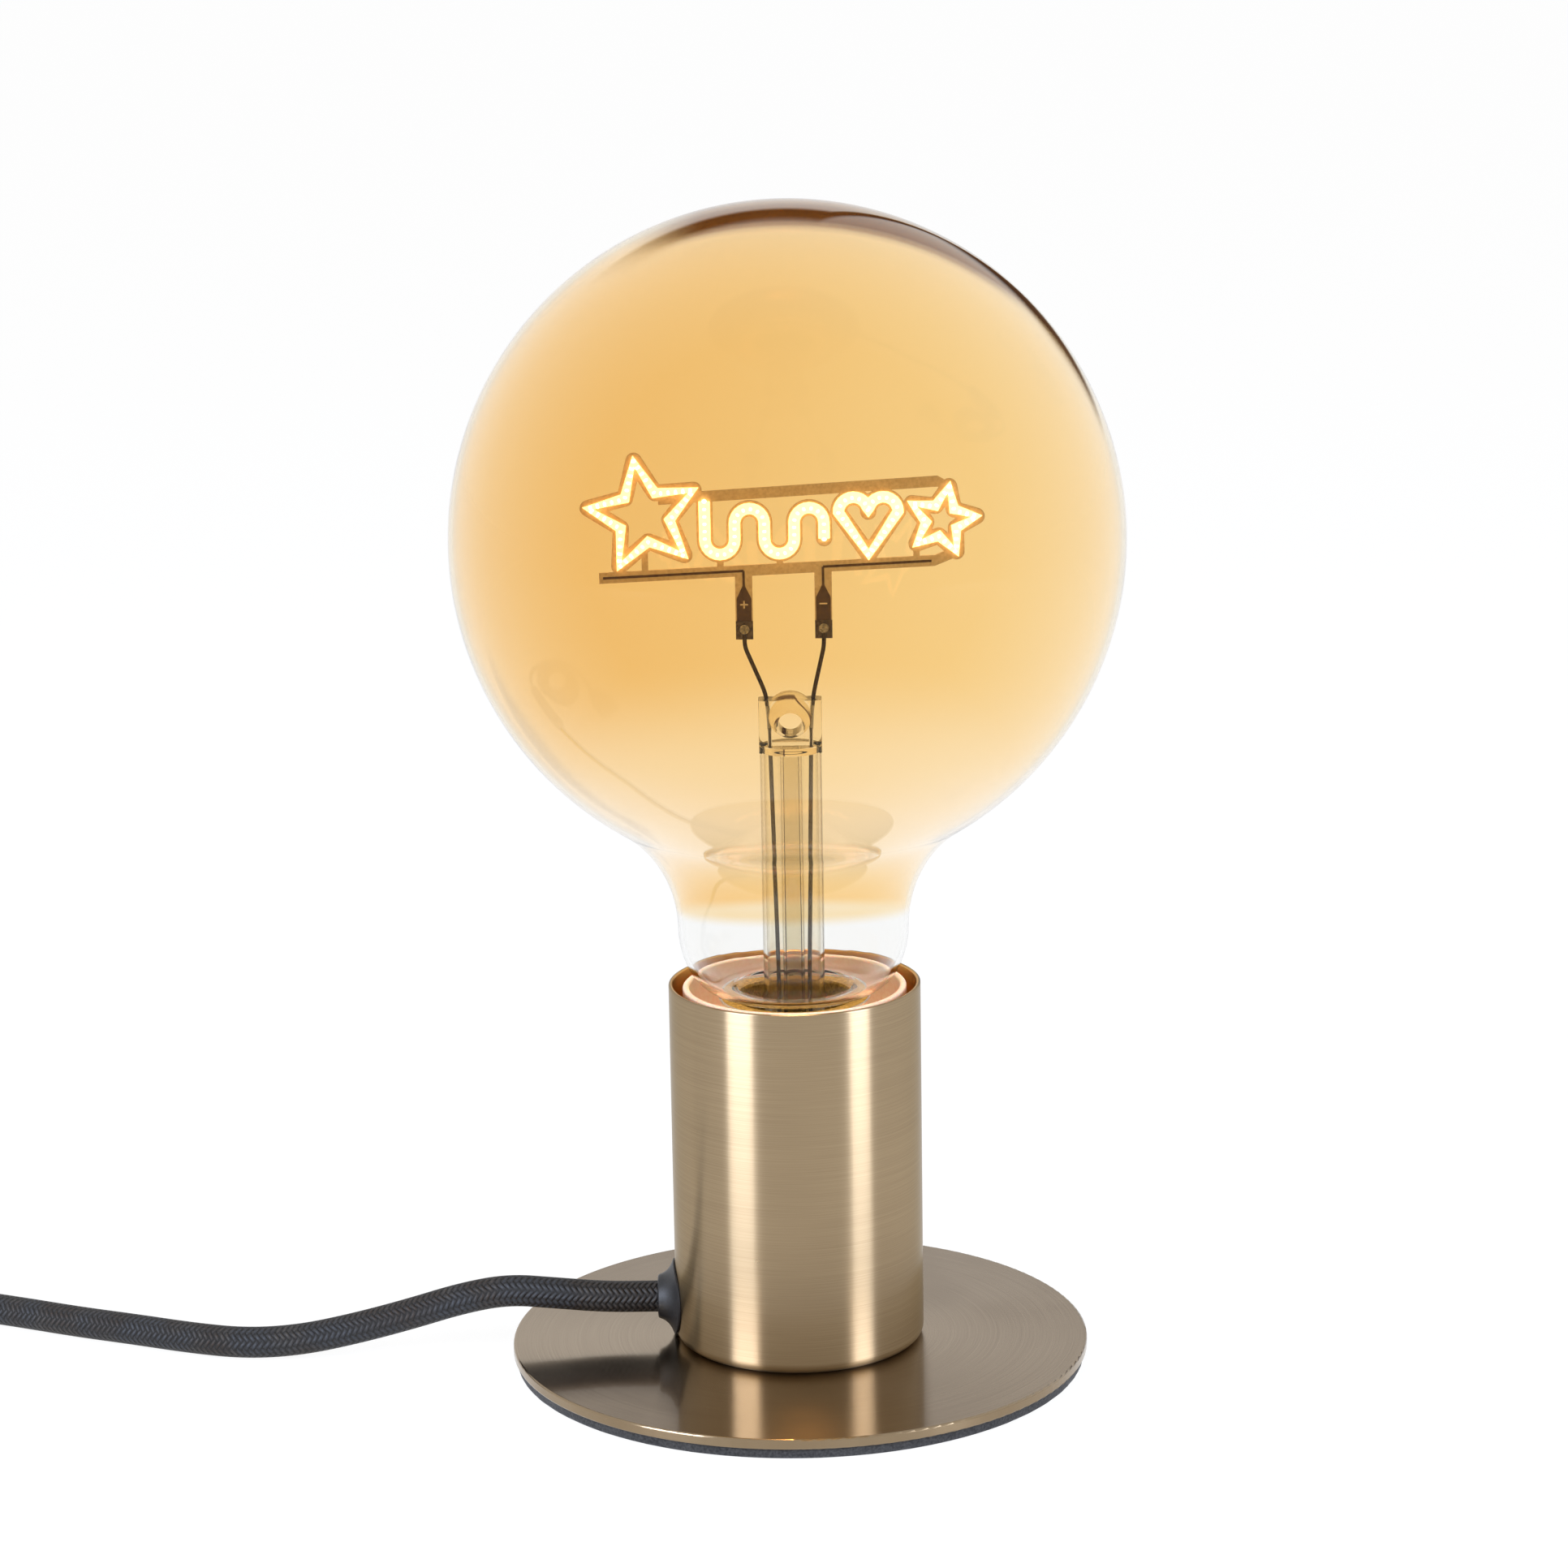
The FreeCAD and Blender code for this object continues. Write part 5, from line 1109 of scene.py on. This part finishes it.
# for each side a track along the rail, and one that widens down the tab
def trackShapes(size):
    half, wide = size["railTrack"] / 2, size["tabHalf"]
    neck, shoulder, end = size["tabNeck"], size["tabShoulder"], size["tabEnd"]
    shapes = []
    for tab, far in ((size["tabLeft"], size["railLeft"]), (size["tabRight"], size["railRight"])):
        low, high = railLevel(tab), railLevel(far)
        shapes.append([(tab, low - half), (far, high - half), (far, high + half), (tab, low + half)])
        shapes.append([
            (tab - half, low), (tab - half, neck), (tab - wide, shoulder), (tab - wide, end),
            (tab + wide, end), (tab + wide, shoulder), (tab + half, neck), (tab + half, low),
        ])
    return shapes


# a plus on the left tab and a minus on the right one
def markShapes(size):
    thin, long, level = size["markThin"], size["markLong"], size["markLevel"]
    bars = [(size["tabLeft"], thin, long), (size["tabLeft"], long, thin), (size["tabRight"], long, thin)]
    corners = [(-1, -1), (1, -1), (1, 1), (-1, 1)]
    return [[(x + halfX * right, level + halfZ * up) for right, up in corners] for x, halfX, halfZ in bars]


trackMesh = flatMesh("carrierTracks", trackShapes(tracks), tracks["face"], tracks["thick"])
markFace = tracks["face"] - tracks["thick"] - tracks["markGap"]
markMesh = flatMesh("polarityMarks", markShapes(tracks), markFace, tracks["markThick"])
trackPiece = addPiece("carrierTracks", trackMesh, finishes["darkCopper"])
markPiece = addPiece("polarityMarks", markMesh, finishes["paleInk"])
for piece in (trackPiece, markPiece):
    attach(piece, "bulb")
print("tracks and marks made")

# strap that ties the coil

tieStrap = {
    "centre": (-257.6, -8.0), "angle": 78.0, "inner": 22.35, "outer": 50.25, "low": 0.35, "high": 13.85,
    "corner": 3.2, "cornerSteps": 8, "width": 12.0, "thick": 0.7, "tailLength": 19.0, "tailSteps": 12,
    "tailGap": 0.03, "tailLift": 0.5, "tailNarrow": 0.6,
}


# the strap's way round the coil, in the plane of X and Z
def roundedLoop(size):
    corner = size["corner"]
    near, far = size["inner"] + corner, size["outer"] - corner
    low, high = size["low"] + corner, size["high"] - corner
    points = []
    for k, centre in enumerate([(far, low), (far, high), (near, high), (near, low)]):
        points += arcPoints(centre, corner, 90 * k - 90, 90 * k, size["cornerSteps"])
    return [Vector((x, 0, z)) for x, z in points]


# a band of the strap's width along a line, thickened
def bandMesh(name, line, closed, width, thick):
    build = bmesh.new()
    count = len(line)
    rows = []
    for i, point in enumerate(line):
        before = line[i - 1] if closed or i else line[0]
        after = line[(i + 1) % count] if closed or i < count - 1 else line[-1]
        heading = (after - before).normalized()
        outward = Vector((heading.z, 0, -heading.x)) * (thick / 2)
        half = Vector((0, width / 2, 0))
        inner, outer = point - outward, point + outward
        corners = (inner - half, outer - half, outer + half, inner + half)
        rows.append([build.verts.new(place * mm) for place in corners])
    for near, far in zip(rows, rows[1:] + (rows[:1] if closed else [])):
        joinRings(build, near, far)
    if not closed:
        build.faces.new(reversed(rows[0]))
        build.faces.new(rows[-1])
    return closeBuild(name, build)


def makeTie(size):
    loop = bandMesh("coilTieLoop", roundedLoop(size), True, size["width"], size["thick"])
    steps, length = size["tailSteps"], size["tailLength"]
    start = (size["inner"] + size["outer"]) / 2 - length / 2
    level = size["high"] + size["thick"] + size["tailGap"]
    tailLine = [Vector((start + length * k / steps, 0, level)) for k in range(steps + 1)]
    tailLine[-1].z += size["tailLift"]
    tailLine[-2].z += size["tailLift"] / 2
    tail = bandMesh("coilTieTail", tailLine, False, size["width"] - size["tailNarrow"], size["thick"])
    build = bmesh.new()
    for part in (loop, tail):
        build.from_mesh(part)
        bpy.data.meshes.remove(part)
    mesh = closeBuild("coilTie", build, False)
    place = Matrix.Translation((size["centre"][0] * mm, size["centre"][1] * mm, 0))
    mesh.transform(place @ Matrix.Rotation(math.radians(size["angle"]), 4, "Z"))
    smoothMesh(mesh, 35)
    return mesh


tiePiece = addPiece("coilTie", makeTie(tieStrap), finishes["wovenStrap"])
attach(tiePiece, "lamp")
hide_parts("coil_tie")
print("tie made")

# ribs on the plug's strain relief

reliefRibs = {
    "count": 9, "start": (-231.0, -68.0, 7.0), "step": 2.5, "smallRadius": 3.62, "bigRadius": 4.5,
    "thick": 0.32,
}


# a row of rings along X, whose radius grows from one end to the other
def ribTree():
    tree, given, result = startTree("reliefRibs", [
        ("Count", "NodeSocketInt"), ("Step", "NodeSocketFloat"), ("Small Radius", "NodeSocketFloat"),
        ("Big Radius", "NodeSocketFloat"), ("Rib Radius", "NodeSocketFloat"),
        ("Rib Material", "NodeSocketMaterial"),
    ])
    gap = addNode(tree, "ShaderNodeCombineXYZ", {0: given.outputs["Step"]})
    row = addNode(tree, "GeometryNodeMeshLine", {"Count": given.outputs["Count"], "Offset": gap})
    loop = addNode(tree, "GeometryNodeCurvePrimitiveCircle", {"Resolution": 40, "Radius": 1.0})
    index = addNode(tree, "GeometryNodeInputIndex")
    last = addNode(tree, "ShaderNodeMath", {"operation": "SUBTRACT", 0: given.outputs["Count"], 1: 1.0})
    share = addNode(tree, "ShaderNodeMath", {"operation": "DIVIDE", 0: index, 1: last})
    size = addNode(tree, "ShaderNodeMapRange", {
        "Value": share, "To Min": given.outputs["Small Radius"], "To Max": given.outputs["Big Radius"],
    })
    turn = addNode(tree, "FunctionNodeInputVector", {"vector": (0, math.pi / 2, 0)})
    rings = addNode(tree, "GeometryNodeInstanceOnPoints", {
        "Points": row, "Instance": loop, "Rotation": turn, "Scale": size,
    })
    lines = addNode(tree, "GeometryNodeRealizeInstances", {"Geometry": rings})
    section = addNode(tree, "GeometryNodeCurvePrimitiveCircle", {
        "Resolution": 8, "Radius": given.outputs["Rib Radius"],
    })
    tubes = addNode(tree, "GeometryNodeCurveToMesh", {"Curve": lines, "Profile Curve": section})
    smooth = addNode(tree, "GeometryNodeSetShadeSmooth", {"Geometry": tubes})
    painted = addNode(tree, "GeometryNodeSetMaterial", {
        "Geometry": smooth, "Material": given.outputs["Rib Material"],
    })
    setNode(tree, result, {0: painted})
    return tree


ribBase = addPiece("ribBase", bpy.data.meshes.new("ribBase"))
ribMesh = treeMesh("reliefRibs", ribBase, ribTree(), {
    "Count": reliefRibs["count"], "Step": reliefRibs["step"] * mm, "Rib Radius": reliefRibs["thick"] * mm,
    "Small Radius": reliefRibs["smallRadius"] * mm, "Big Radius": reliefRibs["bigRadius"] * mm,
    "Rib Material": finishes["softElastomer"],
})
ribMesh.transform(Matrix.Translation(Vector(reliefRibs["start"]) * mm))
ribPiece = addPiece("reliefRibs", ribMesh)
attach(ribPiece, "lamp")
print("ribs:", len(ribMesh.polygons), "faces")

# the CAD nodes of the switch and the plug

switchNames = [
    "switch_base", "switch_cover", "switch_rocker", "rocker_blade", "rocker_pin", "switch_contacts",
    "switch_screws", "switch_sleeves", "switch_leads",
]
plugNames = ["plug_body", "plug_relief", "plug_pins", "pin_sleeves"]

# stage: floor, world and studio lights, in metres, but mm for the floor's drop and for the bulb's own lights
stageLight = {
    "worldDiffuse": 0.38, "seenWhite": 1.0,
    # polished glass and metal see white walls, a dark gap above them and a pale ceiling
    "gapStart": 0.37, "gapDark": 0.44, "gapEnd": 0.53, "ceilingStart": 0.64, "gapShade": "#5E4230",
    "ceilingLevel": 0.9, "leanStart": 0.08, "leanEnd": 0.17, "gapLean": 0.4, "farStart": 0.1, "farEnd": 0.6,
    "leftEnd": -0.45, "leftStart": -0.2, "rightStart": 0.34, "rightEnd": 0.5,
    "floorGlow": 0.8, "floorWhite": 1.15, "floorPaper": 0.86, "floorReach": 16, "floorDrop": 0.1,
    "leftBox": {"azimuth": -51, "wide": 0.45, "power": 11.0},
    "rightBox": {"azimuth": 59.5, "wide": 0.36, "power": 8.8},
    "box": {"height": 0.35, "distance": 1.0, "tall": 0.7, "colour": "#DEE9FF", "aim": 0.1},
    "bulbGlow": {"level": 158, "radius": 14, "colour": "#FFDDB8", "power": 0.35},
    "plateGlint": {"level": 158, "radius": 14, "colour": "#FFC070", "power": 0.7},
}


# light path node, and the share of rays that look at the stage: camera, glossy and transmission rays
def lookingRays(tree):
    rays = addNode(tree, "ShaderNodeLightPath")
    seen = addNode(tree, "ShaderNodeMath", {
        "operation": "ADD", 0: rays.outputs["Is Camera Ray"], 1: rays.outputs["Is Glossy Ray"],
    })
    return rays, addNode(tree, "ShaderNodeMath", {
        "operation": "ADD", "use_clamp": True, 0: seen, 1: rays.outputs["Is Transmission Ray"],
    })


def makeFloor(light):
    build = bmesh.new()
    bmesh.ops.create_grid(build, x_segments=1, y_segments=1, size=light["floorReach"])
    mesh = closeBuild("studioFloor", build, False)
    mesh.transform(Matrix.Translation((0, 0, -light["floorDrop"] * mm)))
    material = bpy.data.materials.new("whitePaperSweep")
    tree = emptyTree(material)
    looking = lookingRays(tree)[1]
    glowShare = addNode(tree, "ShaderNodeMath", {"operation": "MULTIPLY", 0: looking, 1: light["floorGlow"]})
    paper = addNode(tree, "ShaderNodeBsdfDiffuse", {"Color": (light["floorPaper"],) * 3 + (1,)})
    glow = addNode(tree, "ShaderNodeEmission", {"Color": (1, 1, 1, 1), "Strength": light["floorWhite"]})
    mixed = addNode(tree, "ShaderNodeMixShader", {0: glowShare, 1: paper, 2: glow})
    addNode(tree, "ShaderNodeOutputMaterial", {"Surface": mixed})
    addPiece("studioFloor", mesh, material)


def makeWorld(light):
    scene.world = bpy.data.worlds.new("studioWorld")
    tree = emptyTree(scene.world)
    rays, looking = lookingRays(tree)
    soft = addNode(tree, "ShaderNodeBackground", {"Color": (1, 1, 1, 1), "Strength": light["worldDiffuse"]})
    place = addNode(tree, "ShaderNodeTexCoord")
    parts = addNode(tree, "ShaderNodeSeparateXYZ", {0: place.outputs["Generated"]})
    # the dark part hangs lower on the right
    lean = addNode(tree, "ShaderNodeMapRange", {
        "From Min": light["leanStart"], "From Max": light["leanEnd"], "To Max": light["gapLean"],
        "Value": parts,
    })
    leaning = addNode(tree, "ShaderNodeMath", {"operation": "ADD", 0: parts.outputs[2], 1: lean})
    intoGap = addNode(tree, "ShaderNodeMapRange", {
        "interpolation_type": "SMOOTHSTEP", "From Min": light["gapStart"], "From Max": light["gapDark"],
        "To Min": light["seenWhite"], "To Max": 0.0, "Value": leaning,
    })
    outOfGap = addNode(tree, "ShaderNodeMapRange", {
        "interpolation_type": "SMOOTHSTEP", "From Min": light["gapEnd"], "From Max": light["ceilingStart"],
        "To Max": light["ceilingLevel"], "Value": leaning,
    })
    farWall = addNode(tree, "ShaderNodeMath", {"operation": "ADD", 0: intoGap, 1: outOfGap})
    # the gap is only in the wall behind the lamp, and ends at the left and the right
    spans = [(1, "farStart", "farEnd"), (0, "leftEnd", "leftStart"), (0, "rightEnd", "rightStart")]
    farShare, leftShare, rightShare = [
        addNode(tree, "ShaderNodeMapRange", {
            "interpolation_type": "SMOOTHSTEP", "From Min": light[start], "From Max": light[end],
            "Value": parts.outputs[axis],
        })
        for axis, start, end in spans
    ]
    sideShares = addNode(tree, "ShaderNodeMath", {"operation": "MULTIPLY", 0: leftShare, 1: rightShare})
    bothShares = addNode(tree, "ShaderNodeMath", {"operation": "MULTIPLY", 0: farShare, 1: sideShares})
    gapShare = addNode(tree, "ShaderNodeMath", {
        "operation": "SUBTRACT", "use_clamp": True, 0: bothShares, 1: rays.outputs["Is Camera Ray"],
    })
    level = addNode(tree, "ShaderNodeMix", {
        "data_type": "FLOAT", "Factor": gapShare, 2: light["seenWhite"], 3: farWall,
    })
    shade = addNode(tree, "ShaderNodeMix", {
        "data_type": "RGBA", "Factor": level, 6: light["gapShade"], 7: (1, 1, 1, 1),
    })
    white = addNode(tree, "ShaderNodeBackground", {"Strength": light["seenWhite"], "Color": shade.outputs[2]})
    mixed = addNode(tree, "ShaderNodeMixShader", {0: looking, 1: soft, 2: white})
    addNode(tree, "ShaderNodeOutputWorld", {"Surface": mixed})


def addLamp(name, kind, look):
    data = bpy.data.lights.new(name, kind)
    data.energy = look["power"]
    data.color = toLinear(look["colour"])[:3]
    lamp = bpy.data.objects.new(name, data)
    scene.collection.objects.link(lamp)
    lamp.visible_camera = False
    lamp.visible_transmission = False
    return lamp


def addSoftbox(name, box):
    lamp = addLamp(name, "AREA", box)
    lamp.data.shape = "RECTANGLE"
    lamp.data.size = box["wide"]
    lamp.data.size_y = box["tall"]
    turn = math.radians(box["azimuth"])
    lamp.location = (math.sin(turn) * box["distance"], -math.cos(turn) * box["distance"], box["height"])
    lamp.rotation_mode = "QUATERNION"
    lamp.rotation_quaternion = (Vector((0, 0, box["aim"])) - lamp.location).to_track_quat("-Z", "Y")
    lamp.light_linking.receiver_collection = offGlass


# a light of the filament on the pieces below it that it is given, which the glass would hold back
def addBulbLight(name, glow, litPieces):
    lamp = addLamp(name, "POINT", glow)
    lamp.data.shadow_soft_size = glow["radius"] * mm
    lamp.location = (0, 0, glow["level"] * mm)
    lit = bpy.data.collections.new(name + "Lit")
    for lampPart in litPieces:
        lit.objects.link(lampPart)
    lamp.light_linking.receiver_collection = lit
    lamp.light_linking.blocker_collection = clearWay


# the softboxes leave no window marks on the glass, as under a polarising filter
offGlass = bpy.data.collections.new("litBySoftboxes")
offGlass.objects.link(globeGlass)
offGlass.collection_objects[0].light_linking.link_state = "EXCLUDE"
clearWay = bpy.data.collections.new("clearWay")
for clearPiece in (globeGlass, nodes["glass_stem"], nodes["exhaust_tube"]):
    clearWay.objects.link(clearPiece)
for member in clearWay.collection_objects:
    member.light_linking.link_state = "EXCLUDE"

# what lies on the floor outside the picture isn't mirrored in the globe
for farPiece in [cordLead, tiePiece, ribPiece] + [nodes[name] for name in switchNames + plugNames]:
    farPiece.visible_glossy = False

makeFloor(stageLight)
makeWorld(stageLight)
addSoftbox("leftSoftbox", {**stageLight["box"], **stageLight["leftBox"]})
addSoftbox("rightSoftbox", {**stageLight["box"], **stageLight["rightBox"]})
glowNames = [
    "holder_dome", "holder_skirt", "holder_core", "thread_sleeve", "bulb_cap", "cap_cement", "driver_board",
]
addBulbLight("bulbGlow", stageLight["bulbGlow"], [cupPiece] + [nodes[name] for name in glowNames])
addBulbLight("plateGlint", stageLight["plateGlint"], [nodes["base_plate"]])
scene.view_settings.view_transform = "Standard"
print("stage made")
